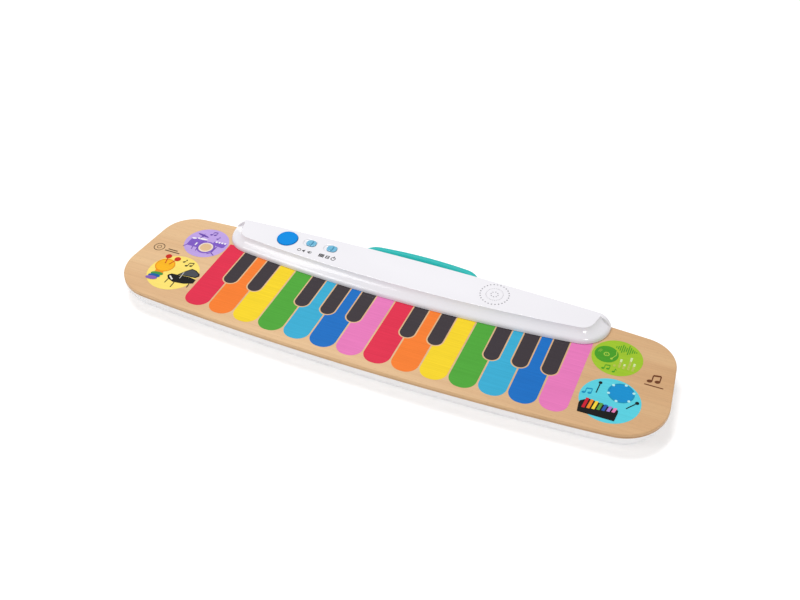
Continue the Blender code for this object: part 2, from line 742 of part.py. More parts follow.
def make_touch_film():
    """The printed sensing sheet under the keys, and the flat cable that takes it to the board."""
    front = bow_points(FILM_FRONT_Y, PANEL_SHAPE.front_bow, FILM_HALF_LENGTH, 6)
    back = [(FILM_HALF_LENGTH, FILM_BACK_Y), (-FILM_HALF_LENGTH, FILM_BACK_Y)]
    top = -PANEL_THICKNESS - GAP
    film = plate("touch_film", [front + back], top - FILM_THICKNESS, top)
    place(film, frame, (0, 0, 0), COPPER)
    path = (
        (FILM_BACK_Y + 0.4, top - 0.1),
        (36.1, top - 0.1),
        (37.0, -4.7),
        (37.4, -1.0),
        (37.4, 2.2),
        (38.0, 3.5),
        (38.9, 3.8),
    )
    mesh = bpy.data.meshes.new("touch_ribbon")
    work = bmesh.new()
    rows = []
    for y, z in path:
        ends = (-RIBBON_HALF_WIDTH, RIBBON_HALF_WIDTH)
        rows.append([work.verts.new((x * MM, y * MM, z * MM)) for x in ends])
    for lower, upper in zip(rows, rows[1:]):
        work.faces.new((lower[0], lower[1], upper[1], upper[0]))
    work.to_mesh(mesh)
    work.free()
    ribbon = bpy.data.objects.new("touch_ribbon", mesh)
    place(ribbon, frame, (RIBBON_X, 0, 0), IVORY)
    thickness = ribbon.modifiers.new("thickness", "SOLIDIFY")
    thickness.thickness = 0.2 * MM
    thickness.offset = 0.0


def make_speaker():
    """A small dynamic speaker that a clamp holds up against the console's ceiling."""
    frame_top = -3.4
    frame_low = -8.0
    pieces = {
        "speaker_gasket": (((13.3, -2.3), (13.3, -3.1), (11.4, -3.1), (11.4, -2.3)), RUBBER),
        "speaker_frame": (
            (
                (13.5, frame_top),
                (13.5, frame_top - 1),
                (12.7, frame_top - 1.2),
                (8.2, frame_low),
                (3.0, frame_low),
                (3.0, frame_low + 0.6),
                (7.8, frame_low + 0.6),
                (12.4, frame_top - 1),
                (12.4, frame_top),
            ),
            STEEL,
        ),
        "voice_coil": (((2.5, -6.9), (2.5, -8.1), (2.0, -8.1), (2.0, -6.9)), COPPER),
    }
    x, y = SPEAKER_PLACE
    for name, (profile, material) in pieces.items():
        place(turned(name, profile, 24, closed=True), console_top, (x, y, 0), material)
    cone = (
        (0.0, -5.2),
        (3.2, -6.0),
        (4.2, -6.2),
        (11.2, -4.0),
        (11.9, -3.9),
        (11.9, -4.1),
        (11.3, -4.3),
        (4.2, -6.6),
        (3.2, -6.4),
        (0.0, -5.6),
    )
    place(turned("speaker_cone", cone, 24), console_top, (x, y, 0), BLACK)
    magnet_top = frame_low - 0.4
    magnet = (
        (0.0, magnet_top),
        (MAGNET_RADIUS, magnet_top),
        (MAGNET_RADIUS, magnet_top - 3.2),
        (MAGNET_RADIUS - 0.5, magnet_top - 3.6),
        (0.0, magnet_top - 3.6),
    )
    place(turned("speaker_magnet", magnet, 20), console_top, (x, y, 0), STEEL)

    clamp_low = SPEAKER_CLAMP_TOP - SPEAKER_CLAMP_THICKNESS
    bar = stadium(2 * CLAMP_REACH + SPEAKER_CLAMP_WIDTH, SPEAKER_CLAMP_WIDTH, 6)
    clamp = plate("speaker_clamp", [bar], clamp_low, SPEAKER_CLAMP_TOP)
    place(clamp, console_top, (x, y, 0), STEEL)
    disc = tool_collection("clamp_disc")
    ring = rod("clamp_ring", CLAMP_RING_RADIUS, clamp_low, SPEAKER_CLAMP_TOP, 24)
    stand_on(disc, ring, console_top, (x, y, 0))
    tools = tool_collection("clamp_cutters")
    magnet_hole = rod("magnet_hole", MAGNET_RADIUS + GAP + 0.05, -14, -4, 24)
    stand_on(tools, magnet_hole, console_top, (x, y, 0))
    for reach, name in zip(clamp_xs(), ("clamp_screw_left", "clamp_screw_right")):
        hole = rod("clamp_hole", SMALL_SCREW_RADIUS + GAP, -14, -4, 10)
        stand_on(tools, hole, console_top, (reach, y, 0))
        screw(name, console_top, reach, y, clamp_low - GAP, 5.5, small=True)
    cut(cut(clamp, disc, "UNION"), tools)


def make_battery():
    """Three cells side by side in series. Every second one is turned round."""
    nub_tip = POCKET_HALF_LENGTH - 1.1
    body_end = nub_tip - CELL_NUB
    body_start = body_end - CELL_LENGTH
    cell = [
        (0.0, nub_tip),
        (2.6, nub_tip),
        (2.6, body_end),
        (CELL_RADIUS - 0.4, body_end),
        (CELL_RADIUS, body_end - 0.4),
        (CELL_RADIUS, body_start + 0.4),
        (CELL_RADIUS - 0.4, body_start),
        (0.0, body_start),
    ]
    steps = 24
    start = body_start - GAP - 0.4
    end = -POCKET_HALF_LENGTH + 0.8 + GAP + 0.4
    coil = []
    for k in range(steps + 1):
        share = k / steps
        radius = 2.4 + 1.3 * share
        angle = math.tau * SPRING_TURNS * share
        height = start + (end - start) * share
        coil.append((radius * math.cos(angle), radius * math.sin(angle), height))
    for i in range(3):
        middle = (0, BATTERY_Y + (i - 1) * CELL_PITCH, CELL_Z)
        turn = math.pi / 2 if i % 2 == 0 else -math.pi / 2
        battery = turned(f"battery_cell_{i + 1}", cell, 18)
        place(battery, frame, middle, YELLOW).rotation_euler.y = turn
        spring = tube(f"battery_spring_{i + 1}", coil, 0.35, 1)
        place(spring, frame, middle, STEEL).rotation_euler.y = turn

    contacts = {
        "battery_contact_positive": (1, -1, -1),
        "battery_link_left": (-1, -1, 0),
        "battery_link_right": (1, 0, 1),
        "battery_contact_negative": (-1, 1, 1),
    }
    for name, (side, first, last) in contacts.items():
        low = (-0.25, first * CELL_PITCH - 4.2, CONTACT_LOW)
        high = (0.25, last * CELL_PITCH + 4.2, POCKET_TOP - GAP)
        obj = place(block(name, low, high), frame, (side * CONTACT_X, BATTERY_Y, 0), STEEL)
        if first == last:
            tails = tool_collection(name + "_tail")
            tail = block("solder_tail", (-0.25, -1.1, POCKET_TOP - 2), (0.25, 1.1, -0.8))
            stand_on(tails, tail, frame, (side * CONTACT_X, BATTERY_Y + first * CELL_PITCH, 0))
            cut(obj, tails, "UNION")

    top = TRAY_BOTTOM + DOOR_THICKNESS
    door = plate("battery_door", [door_outline(0.0)], TRAY_BOTTOM, top)
    place(door, frame, (0, 0, 0), WHITE)
    tools = tool_collection("door_cutters")
    screw_place = (DOOR_SCREW_X, BATTERY_Y, 0)
    below = TRAY_BOTTOM - 1
    stand_on(tools, rod("door_hole", SCREW_RADIUS, below, top + 1, 12), frame, screw_place)
    sink = rod("door_sink", DOOR_SCREW_HEAD_RADIUS + GAP, below, TRAY_BOTTOM + 1.1)
    stand_on(tools, sink, frame, screw_place)
    cut(door, tools)
    profile = [
        (0.0, -8.0),
        (SMALL_SCREW_RADIUS, -9.0),
        (SMALL_SCREW_RADIUS, TRAY_BOTTOM + 0.8),
        (DOOR_SCREW_HEAD_RADIUS, TRAY_BOTTOM + 0.8),
        (DOOR_SCREW_HEAD_RADIUS, TRAY_BOTTOM + 0.2),
        (0.0, TRAY_BOTTOM + 0.2),
    ]
    place(turned("battery_door_screw", profile, 12), frame, screw_place, STEEL)


def smooth_route(points, steps=4):
    """A Catmull-Rom curve through the points."""
    ends = [points[0]] + list(points) + [points[-1]]
    route = []
    for a, b, c, d in zip(ends, ends[1:], ends[2:], ends[3:]):
        for i in range(steps):
            t = i / steps
            point = []
            for p, q, r, s in zip(a, b, c, d):
                bend = (2 * p - 5 * q + 4 * r - s) * t**2 + (3 * q - p - 3 * r + s) * t**3
                point.append(0.5 * (2 * q + (r - p) * t + bend))
            route.append(tuple(point))
    return route + [points[-1]]


def make_wires():
    """Each route is one lead, from the part it feeds to its pad on the board."""
    routes = {
        "battery_wire_red": (
            (26.0, 34.2, 0.2),
            (20.0, 34.0, 1.3),
            (-15.0, 35.5, 1.4),
            (-48.0, 39.0, 1.5),
            (-57.0, 43.0, 3.0),
            (-63.5, 46.5, 3.8),
        ),
        "battery_wire_black": (
            (-26.0, 55.8, 0.2),
            (-30.0, 55.4, 1.3),
            (-44.0, 54.0, 1.6),
            (-56.0, 52.0, 3.3),
            (-63.5, 50.0, 3.9),
        ),
        "speaker_wire_red": (
            (73.9, 58.2, 5.7),
            (66.0, 58.4, 3.6),
            (40.0, 57.0, 1.6),
            (-20.0, 58.5, 1.5),
            (-50.0, 57.0, 2.2),
            (-63.5, 53.5, 4.0),
        ),
        "speaker_wire_black": (
            (75.5, 60.2, 5.7),
            (67.0, 60.8, 3.8),
            (40.0, 59.5, 1.6),
            (-20.0, 61.0, 1.5),
            (-52.0, 60.0, 2.6),
            (-63.5, 57.0, 4.2),
        ),
    }
    for name, points in routes.items():
        wire = tube(name, smooth_route(points), WIRE_RADIUS, 1)
        place(wire, frame, (0, 0, 0), RED if name.endswith("red") else BLACK)


def make_feet():
    top = TRAY_BOTTOM + FOOT_SUNK - GAP
    bottom = TRAY_BOTTOM - FOOT_HEIGHT
    profile = [
        (0.0, top),
        (FOOT_RADIUS, top),
        (FOOT_RADIUS, bottom + 0.5),
        (FOOT_RADIUS - 0.5, bottom),
        (0.0, bottom),
    ]
    for i, (x, y) in enumerate(FOOT_PLACES, 1):
        place(turned(f"rubber_foot_{i}", profile, 16), frame, (x, y, 0), RUBBER)


def make_case_screws():
    for i, (x, y) in enumerate(CASE_SCREWS, 1):
        screw(f"case_screw_{i}", frame, x, y, COUNTERBORE_TOP - GAP, 19.8)
    for i, (x, y) in enumerate(PANEL_SCREWS, 1):
        screw(f"panel_screw_{i}", frame, x, y, COUNTERBORE_TOP - GAP, 11.3)


clear_scene()
parts = new_collection("toy_keyboard")
cutters = new_collection("cutters")
cutters.hide_render = True

WOOD = new_material("beech", (0.72, 0.50, 0.29), 0.45)
WHITE = new_material("white_plastic", (0.90, 0.89, 0.91), 0.2)
TEAL = new_material("teal_plastic", (0.03, 0.48, 0.46), 0.35)
BLUE = new_material("blue_plastic", (0.0, 0.30, 0.79), 0.3)
LIGHT_BLUE = new_material("light_blue_plastic", (0.16, 0.52, 0.78), 0.15)
RUBBER = new_material("rubber", (0.08, 0.08, 0.08), 0.8)
STEEL = new_material("steel", (0.6, 0.6, 0.6), 0.3, 1.0)
COPPER = new_material("copper", (0.8, 0.42, 0.2), 0.35, 1.0)
BLACK = new_material("black_plastic", (0.03, 0.03, 0.03), 0.5)
GREEN = new_material("circuit_board", (0.02, 0.22, 0.07), 0.4)
IVORY = new_material("ivory_plastic", (0.80, 0.76, 0.64), 0.5)
YELLOW = new_material("cell_sleeve", (0.80, 0.62, 0.12), 0.35)
RED = new_material("red_wire", (0.65, 0.03, 0.03), 0.5)

frame = new_empty("keyboard_frame", (0, -CENTRE_Y, PANEL_TOP_Z))
console_top = new_empty(
    "console_top_frame",
    (0, CONSOLE_MIDDLE_Y, console_top_z(CONSOLE_MIDDLE_Y)),
    frame,
    math.atan(CONSOLE_SLOPE),
)
make_panel()
make_tray()
make_console()
make_handle()
make_button()
make_slider("volume_slider", "volume_switch", VOLUME_PLACE)
make_slider("mode_slider", "mode_switch", MODE_PLACE)
make_board()
make_touch_film()
make_speaker()
make_battery()
make_wires()
make_feet()
make_case_screws()
for part in parts.objects:
    if part.type == "MESH":
        smooth(part)
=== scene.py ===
"""Looks of a toy keyboard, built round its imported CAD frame.

Shapes on the panel are in the panel's frame and shapes on the console's top are in the console's
frame, both in millimetres: X along the keys, Y towards the console, Z out of the face.
"""

import json
import math
from collections import namedtuple

import bmesh
import bpy
from mathutils import Matrix, Vector


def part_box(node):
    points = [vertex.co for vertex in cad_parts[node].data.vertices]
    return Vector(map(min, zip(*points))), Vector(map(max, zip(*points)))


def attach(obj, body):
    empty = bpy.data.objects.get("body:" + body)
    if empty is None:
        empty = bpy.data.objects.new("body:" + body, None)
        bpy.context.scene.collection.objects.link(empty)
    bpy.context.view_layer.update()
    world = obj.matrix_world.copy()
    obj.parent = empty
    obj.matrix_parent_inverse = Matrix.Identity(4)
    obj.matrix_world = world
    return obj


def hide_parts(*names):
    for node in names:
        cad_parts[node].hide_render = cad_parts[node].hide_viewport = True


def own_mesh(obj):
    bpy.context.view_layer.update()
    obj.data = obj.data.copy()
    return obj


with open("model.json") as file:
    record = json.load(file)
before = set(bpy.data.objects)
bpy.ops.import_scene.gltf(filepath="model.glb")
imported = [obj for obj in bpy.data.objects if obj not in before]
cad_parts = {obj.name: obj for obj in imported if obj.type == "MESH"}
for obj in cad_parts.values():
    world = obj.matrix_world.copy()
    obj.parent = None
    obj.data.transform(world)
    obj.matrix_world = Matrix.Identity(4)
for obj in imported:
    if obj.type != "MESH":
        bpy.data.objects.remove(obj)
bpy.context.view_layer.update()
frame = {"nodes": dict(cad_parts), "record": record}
NODES = frame["nodes"]
MM = 0.001

# Panel, in the panel's frame
BOW_X = 182.0
PANEL_FRONT_Y = -68.1
PANEL_BACK_Y = 69.6
PANEL_THICKNESS = 5.0
PANEL_ROUND = 1.2
TRAY_INSET = 3.8
TRAY_DRAFT = 1.3
TRAY_WALL = 3.5
TRAY_BOTTOM = -18.0
TRAY_ROUND = 2.6
TRAY_FLOOR = 2.0
FOOT_RADIUS = 6.0
FOOT_SUNK = 0.8
DOOR_CORNER = 3.0
BOSS_RADIUS = 4.2
COUNTERBORE_RADIUS = 3.0
COUNTERBORE_TOP = -13.0
HANDLE_BORE_TOP = -13.4

# Console
CONSOLE_FRONT_HEIGHT = 11.0
CONSOLE_BACK_HEIGHT = 12.5
CONSOLE_FRONT_Y = 31.0
CONSOLE_BACK_Y = 69.2
CONSOLE_MIDDLE_Y = 50.0
CONSOLE_WALL = 2.0
CONSOLE_LOW = 0.3
CONSOLE_EDGE_ROUND = 0.6
CONSOLE_SLOPE = (CONSOLE_BACK_HEIGHT - CONSOLE_FRONT_HEIGHT) / (CONSOLE_BACK_Y - CONSOLE_FRONT_Y)
# Each pair is how far out, and how high, a section of the console's side lies.
CONSOLE_SIDE = (
    (1.0, 0.0), (0.94, 0.2), (0.8, 0.36), (0.58, 0.5), (0.35, 0.65), (0.15, 0.82), (0.0, 1.0)
)
# The console's left end is a little nearer the middle than its right end.
CONSOLE_LEFT = 0.984
RIM_THICKNESS = 4.4
RIM_FOOT = 3.0
RIM_X = 179.4
RIM_REACH = 11.3
RIM_POWER = 1.6

# Controls, as places on the console's top
BUTTON_PLACE = (-126.3, 2.9)
BUTTON_RADIUS = 10.0
KNOB_PLACES = {"volume": (-101.7, 5.0), "mode": (-80.0, 5.0)}
KNOB_LENGTH = 9.8
KNOB_WIDTH = 8.2
KNOB_CORNER = 3.3
KNOB_TRAVEL = 3.0
CLEARANCE = 0.3
DISH_DEPTH = 0.85
# Each pair is how far out from the recess, and how high, its floor and rolled lip lie.
DISH_FLOOR = ((-0.9, 0.0), (-0.35, 0.08), (-0.05, 0.35))
DISH_LIP = ((0.0, -0.6), (0.15, -0.3), (0.5, -0.1), (1.1, 0.04), (1.1, 2.0))
STEM_HALF = 1.0
STEM_LOW = -3.3
SPEAKER_PLACE = (84.3, 2.2)
# Each ring of sound holes is its radius, its number of holes and their radius.
GRILLE_RINGS = ((13.2, 26, 0.72), (7.8, 30, 0.4), (3.3, 8, 0.62))
ICON_Y = -7.6

# Handle
HANDLE_RADIUS = 4.75
HANDLE_HALF_WIDTH = 57.0
HANDLE_BACK_Y = 90.7
HANDLE_BOW = -2.4
HANDLE_BEND = 14.0
HANDLE_Z = -5.25
HANDLE_ROOT_Y = 55.0
HANDLE_RELIEF_Y = 70.4

# Printed keys
KEY_PITCH = 26.0
KEY_WIDTH = 24.5
KEY_TIP_Y = -60.0
KEY_TIP_BOW = 6.4
KEY_TIP_RADIUS = 11.2
KEY_BACK_Y = 27.0
KEY_BACK_BOW = 11.0
DARK_KEY_XS = (-154.6, -128.5, -78.2, -52.0, -25.8, 26.2, 52.5, 103.8, 129.2, 155.3)
DARK_KEY_WIDTH = 13.8
DARK_KEY_TIP_Y = -19.9
DARK_KEY_TIP_BOW = 6.066
DARK_KEY_LINE = 1.25
LAYER = 0.05
OVERLAP_STEP = 0.004

Shape = namedtuple(
    "Shape", "front_y front_bow back_y back_bow front_x back_x front_radius back_radius"
)
PANEL_SHAPE = Shape(PANEL_FRONT_Y, 5.97, PANEL_BACK_Y, -4.85, 263.6, 252.1, 42.0, 32.0)
CONSOLE_BASE = Shape(21.1, 11.5, CONSOLE_BACK_Y, -4.85, 190.9, 190.9, 27.0, 2.0)
CONSOLE_TOP = Shape(CONSOLE_FRONT_Y, 10.4, CONSOLE_BACK_Y, -4.85, 175.4, 181.2, 13.0, 2.0)


def console_top_z(y):
    return CONSOLE_FRONT_HEIGHT + CONSOLE_SLOPE * (y - CONSOLE_FRONT_Y)


# Fasteners
CASE_SCREWS = [f"case_screw_{i}" for i in range(1, 6)] + [f"panel_screw_{i}" for i in range(1, 5)]
HANDLE_SCREWS = {"handle_screw_left": -1, "handle_screw_right": 1}
FEET = [f"rubber_foot_{i}" for i in range(1, 5)]
THREAD_PITCH = 0.8

panel_low, panel_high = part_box("wood_panel")
PANEL = Matrix.Translation((0.0, panel_low.y - PANEL_FRONT_Y * MM, panel_high.z)) @ Matrix.Scale(MM, 4)
CONSOLE = (
    PANEL
    @ Matrix.Translation((0.0, CONSOLE_MIDDLE_Y, console_top_z(CONSOLE_MIDDLE_Y)))
    @ Matrix.Rotation(math.atan(CONSOLE_SLOPE), 4, "X")
)


def panel_box(node):
    """A CAD node's lowest and highest corners in the panel's frame."""
    return [PANEL.inverted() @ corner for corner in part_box(node)]


def panel_middle(node):
    low, high = panel_box(node)
    return (low + high) / 2


def standing(node):
    """The frame at the middle of a CAD node's foot, and the node's height."""
    low, high = panel_box(node)
    middle = (low + high) / 2
    return PANEL @ Matrix.Translation((middle.x, middle.y, low.z)), high.z - low.z


# Colours and materials

ALBEDO = 0.88


def rgb(red, green, blue):
    """A colour as it shows under the studio's light, as the linear values that a shader takes."""

    def linear(value):
        share = value / 255
        return share / 12.92 if share <= 0.04045 else ((share + 0.055) / 1.055) ** 2.4

    return tuple(linear(value) * ALBEDO for value in (red, green, blue))


def shade(colour, factor=1.0):
    return tuple(min(value * factor, 1.0) for value in colour) + (1.0,)


PURE_WHITE = (1.0, 1.0, 1.0, 1.0)


class Surface:
    """A Principled material, with the few nodes that its texture needs."""

    def __init__(self, name, **sockets):
        self.material = bpy.data.materials.new(name)
        self.material.use_nodes = True
        self.nodes = self.material.node_tree.nodes
        self.links = self.material.node_tree.links
        self.shader = self.nodes["Principled BSDF"]
        self.feed(self.shader, **sockets)
        self.coordinates = self.nodes.new("ShaderNodeTexCoord").outputs["Object"]

    def feed(self, node, **inputs):
        """Gives the node's inputs their values, or the outputs that drive them."""
        for name, value in inputs.items():
            socket = node.inputs[name.replace("_", " ")]
            if isinstance(value, bpy.types.NodeSocket):
                self.links.new(value, socket)
            else:
                socket.default_value = value

    def add(self, kind, **inputs):
        node = self.nodes.new(f"ShaderNode{kind}")
        self.feed(node, **inputs)
        return node

    def noise(self, scale, detail=3.0, stretch=(1.0, 1.0, 1.0), distortion=0.0):
        mapping = self.add("Mapping", Scale=stretch, Vector=self.coordinates)
        noise = self.add("TexNoise", Scale=scale, Detail=detail, Distortion=distortion)
        self.feed(noise, Vector=mapping.outputs["Vector"])
        return noise.outputs["Fac"]

    def ramp(self, value, stops):
        """Turns a value into a colour. Each stop is its position and its colour."""
        node = self.add("ValToRGB", Fac=value)
        elements = node.color_ramp.elements
        while len(elements) < len(stops):
            elements.new(0.5)
        for element, (position, colour) in zip(elements, stops):
            element.position = position
            element.color = colour
        return node.outputs["Color"]

    def tint(self, value, colour, dark, light):
        """A colour that goes from darker to lighter with a value."""
        return self.ramp(value, [(0.3, shade(colour, dark)), (0.7, shade(colour, light))])

    def product(self, first, *others):
        """A colour multiplied by each of the others in turn."""
        for other in others:
            node = self.add("Mix")
            node.data_type = "RGBA"
            node.blend_type = "MULTIPLY"
            self.feed(node, Factor=1.0, A=first, B=other)
            first = node.outputs["Result"]
        return first

    def between(self, value, low, high, from_low=0.3, from_high=0.7):
        """Maps a value from one range to another."""
        node = self.add("MapRange", From_Min=from_low, From_Max=from_high, To_Min=low, To_Max=high)
        self.feed(node, Value=value)
        return node.outputs["Result"]

    def axis(self, letter):
        """One coordinate in metres."""
        return self.add("SeparateXYZ", Vector=self.coordinates).outputs[letter]

    def relief(self, value, strength, distance):
        node = self.add("Bump", Strength=strength, Distance=distance, Height=value)
        self.feed(self.shader, Normal=node.outputs["Normal"])

    def colour(self, output):
        self.feed(self.shader, Base_Color=output)

    def roughness(self, output):
        self.feed(self.shader, Roughness=output)


WOOD_GRAIN = (22.0, 900.0, 300.0)
# The white sheen that the ink's surface adds to its colour
INK_SHEEN = 0.006


def wood():
    """Pale beech veneer: long soft bands, fine streaks and short dark flecks along X, darkened towards its
    right end by painted shade.
    """
    surface = Surface("beech_veneer", Specular_IOR_Level=0.35, Coat_Weight=0.12, Coat_Roughness=0.3)
    bands = surface.noise(1.0, 3.0, (2.2, 34.0, 20.0), 0.6)
    streaks = surface.noise(1.0, 4.0, WOOD_GRAIN)
    flecks = surface.noise(1.0, 2.0, (190.0, 2400.0, 900.0))
    light, middle, dark = rgb(233, 196, 148), rgb(227, 186, 138), rgb(219, 175, 127)
    broad = surface.ramp(bands, [(0.3, shade(dark)), (0.5, shade(middle)), (0.72, shade(light))])
    fine = surface.ramp(streaks, [(0.32, shade((1, 1, 1), 0.92)), (0.62, PURE_WHITE)])
    fleck = surface.ramp(flecks, [(0.27, shade((1, 0.93, 0.86), 0.78)), (0.36, PURE_WHITE)])
    edge_high = panel_high.z - PANEL_ROUND * MM
    # The panel's edge is darker than its face, with a darker band across the middle of the edge.
    edge_darkening = surface.ramp(
        surface.between(surface.axis("Z"), 0.0, 1.0, panel_low.z, edge_high),
        [
            (0.0, shade((1, 0.96, 0.9), 0.84)), (0.3, shade((1, 0.97, 0.92), 0.82)),
            (0.36, shade((1, 0.93, 0.84), 0.72)), (0.64, shade((1, 0.93, 0.84), 0.75)),
            (0.7, shade((1, 0.98, 0.94), 0.86)), (1.0, PURE_WHITE),
        ],
    )
    # Painted shade: the veneer darkens and warms towards the panel's right end, where less light falls.
    ends = surface.ramp(
        surface.between(surface.axis("X"), 0.0, 1.0, panel_low.x, panel_high.x),
        [(0.3, PURE_WHITE), (0.85, shade((1, 0.93, 0.87), 0.87))],
    )
    surface.colour(surface.product(broad, fine, fleck, edge_darkening, ends))
    surface.roughness(surface.between(streaks, 0.5, 0.38))
    surface.relief(streaks, 0.12, 0.0003)
    return surface.material


def ink(name, red, green, blue):
    """Screen-printed ink that lets a little of the wood's grain through."""
    surface = Surface(f"ink_{name}", Specular_IOR_Level=0.12)
    colour = tuple(max(value - INK_SHEEN, 0.002) for value in rgb(red, green, blue))
    streaks = surface.noise(1.0, 4.0, WOOD_GRAIN)
    cloud = surface.noise(60.0, 3.0)
    grain = surface.tint(streaks, colour, 0.93, 1.04)
    surface.colour(surface.product(grain, surface.tint(cloud, (1, 1, 1), 0.97, 1.0)))
    surface.roughness(surface.between(streaks, 0.5, 0.4))
    surface.relief(streaks, 0.08, 0.0002)
    return surface.material


def moulded(name, colour, roughness, grain=1400.0, vary=0.02, depth=0.00004, **sockets):
    """Injection-moulded plastic or rubber: an even colour, soft flow marks and a fine skin."""
    surface = Surface(name, **sockets)
    flow = surface.noise(14.0, 2.0, (0.6, 1.5, 1.0))
    skin = surface.noise(grain, 3.0)
    surface.colour(surface.tint(flow, colour, 1 - vary, 1 + vary))
    surface.roughness(surface.between(skin, roughness * 0.85, roughness * 1.2))
    surface.relief(skin, 0.15, depth)
    return surface.material


def metal(name, colour, roughness, stretch=(1.0, 1.0, 1.0)):
    """Plated or drawn metal with fine marks."""
    surface = Surface(name, Metallic=1.0)
    marks = surface.noise(1800.0, 3.0, stretch)
    tone = surface.noise(160.0, 2.0)
    surface.colour(surface.tint(tone, colour, 0.88, 1.05))
    surface.roughness(surface.between(marks, roughness * 0.75, roughness * 1.3))
    surface.relief(marks, 0.2, 0.00003)
    return surface.material


def circuit_board():
    """Green solder mask over a maze of copper tracks."""
    surface = Surface("circuit_board_mask", Coat_Weight=0.3, Coat_Roughness=0.2)
    brick = surface.add("TexBrick", Scale=260.0, Mortar_Size=0.05, Vector=surface.coordinates)
    surface.feed(brick, Color1=shade(rgb(18, 92, 48)), Color2=shade(rgb(24, 104, 54)))
    surface.feed(brick, Mortar=shade(rgb(70, 140, 70)))
    surface.colour(brick.outputs["Color"])
    surface.roughness(surface.between(surface.noise(700.0), 0.3, 0.45))
    surface.relief(brick.outputs["Fac"], 0.3, 0.00004)
    return surface.material


def printed_film():
    """Clear brown film with rows of printed conductor."""
    surface = Surface("printed_film", Specular_IOR_Level=0.6)
    wave = surface.add("TexWave", Scale=120.0, Distortion=0.0, Vector=surface.coordinates)
    film, track = shade(rgb(172, 122, 66)), shade(rgb(150, 150, 148))
    surface.colour(surface.ramp(wave.outputs["Fac"], [(0.35, film), (0.45, track)]))
    surface.roughness(surface.between(surface.noise(500.0), 0.25, 0.4))
    return surface.material


def floor_paper():
    """White paper that glows a little, so that shadows on it stay faint."""
    surface = Surface("studio_paper", Specular_IOR_Level=0.1, Emission_Strength=0.15)
    surface.feed(surface.shader, Emission_Color=PURE_WHITE)
    fibres = surface.noise(300.0, 4.0)
    surface.colour(surface.ramp(fibres, [(0.3, (0.93, 0.93, 0.935, 1)), (0.7, (0.95, 0.95, 0.955, 1))]))
    surface.roughness(surface.between(fibres, 0.8, 0.95))
    surface.relief(fibres, 0.05, 0.0001)
    return surface.material


# The material of each slot
MATERIALS = {
    "beech": wood(),
    "white_plastic": moulded("satin_white", rgb(255, 254, 255), 0.34, 900.0),
    "teal_plastic": moulded("teal_handle", rgb(26, 184, 180), 0.42, 900.0, Specular_IOR_Level=0.2),
    "blue_plastic": moulded("button_blue", rgb(0, 140, 226), 0.45, Specular_IOR_Level=0.06),
    "light_blue_plastic": moulded(
        "knob_blue", rgb(120, 200, 234), 0.14, Transmission_Weight=0.15, IOR=1.49
    ),
    "rubber": moulded("foot_rubber", rgb(58, 58, 60), 0.8, 700.0, 0.08, 0.0001),
    "steel": metal("zinc_plate", rgb(196, 197, 200), 0.3),
    "copper": metal("copper_wire", rgb(205, 124, 72), 0.3, (1.0, 1.0, 8.0)),
    "film": printed_film(),
    "ivory_plastic": moulded("ivory_plastic", rgb(226, 219, 200), 0.45, 900.0),
    "black_plastic": moulded("black_plastic", rgb(34, 34, 36), 0.45, 900.0, 0.06),
    "cone_paper": moulded("cone_paper", rgb(40, 39, 40), 0.85, 500.0, 0.12, 0.0002),
    "circuit_board": circuit_board(),
    "cell_sleeve": moulded("cell_sleeve", rgb(214, 176, 60), 0.3, 900.0, 0.05),
    "red_wire": moulded("red_insulation", rgb(190, 30, 34), 0.4, 900.0, 0.05),
    "black_wire": moulded("black_insulation", rgb(26, 26, 28), 0.4, 900.0, 0.05),
}
GLOSS_WHITE = moulded("gloss_white", rgb(242, 240, 245), 0.18, Coat_Weight=0.5, Coat_Roughness=0.08)
SILICONE = moulded("dome_silicone", rgb(120, 124, 130), 0.55, 700.0, 0.05)


# Outlines, as lists of (x, y)


def fillet(before, corner, after, radius, steps):
    """The arc of this radius that rounds the corner between two straight lines."""
    corner = Vector(corner)
    back = (Vector(before) - corner).normalized()
    ahead = (Vector(after) - corner).normalized()
    half = back.angle(ahead) / 2
    centre = corner + (back + ahead).normalized() * radius / math.sin(half)
    start = corner + back * radius / math.tan(half) - centre
    end = corner + ahead * radius / math.tan(half) - centre
    first = math.atan2(start.y, start.x)
    turn = (math.atan2(end.y, end.x) - first + math.pi) % math.tau - math.pi
    angles = [first + turn * i / steps for i in range(steps + 1)]
    return [(centre.x + radius * math.cos(a), centre.y + radius * math.sin(a)) for a in angles]


def bow_points(middle_y, bow, half_length, steps):
    xs = [half_length * (2 * i / steps - 1) for i in range(steps + 1)]
    return [(x, middle_y + bow * (x / BOW_X) ** 2) for x in xs]


def bowed_outline(shape, corner_steps=20, arc_steps=28):
    """A symmetric outline: bowed front and back edges, straight ends and four rounded corners."""
    front_corner = (shape.front_x, shape.front_y + shape.front_bow * (shape.front_x / BOW_X) ** 2)
    back_corner = (shape.back_x, shape.back_y + shape.back_bow * (shape.back_x / BOW_X) ** 2)
    front_half = shape.front_x - 1.3 * shape.front_radius
    back_half = shape.back_x - 1.3 * shape.back_radius
    front = bow_points(shape.front_y, shape.front_bow, front_half, arc_steps)
    back = bow_points(shape.back_y, shape.back_bow, back_half, arc_steps)[::-1]
    right = fillet(front[-1], front_corner, back_corner, shape.front_radius, corner_steps)
    right += fillet(front_corner, back_corner, back[0], shape.back_radius, corner_steps)
    left = [(-x, y) for x, y in reversed(right)]
    return front + right + back + left


def inset(shape, amount):
    return Shape(
        shape.front_y + amount,
        shape.front_bow,
        shape.back_y - amount,
        shape.back_bow,
        shape.front_x - amount,
        shape.back_x - amount,
        shape.front_radius - amount,
        max(shape.back_radius - amount, 0.5),
    )


def between(low, high, share):
    return Shape(*(a + (b - a) * share for a, b in zip(low, high)))


def circle(x, y, radius, steps=40):
    angles = [math.tau * i / steps for i in range(steps)]
    return [(x + radius * math.cos(a), y + radius * math.sin(a)) for a in angles]


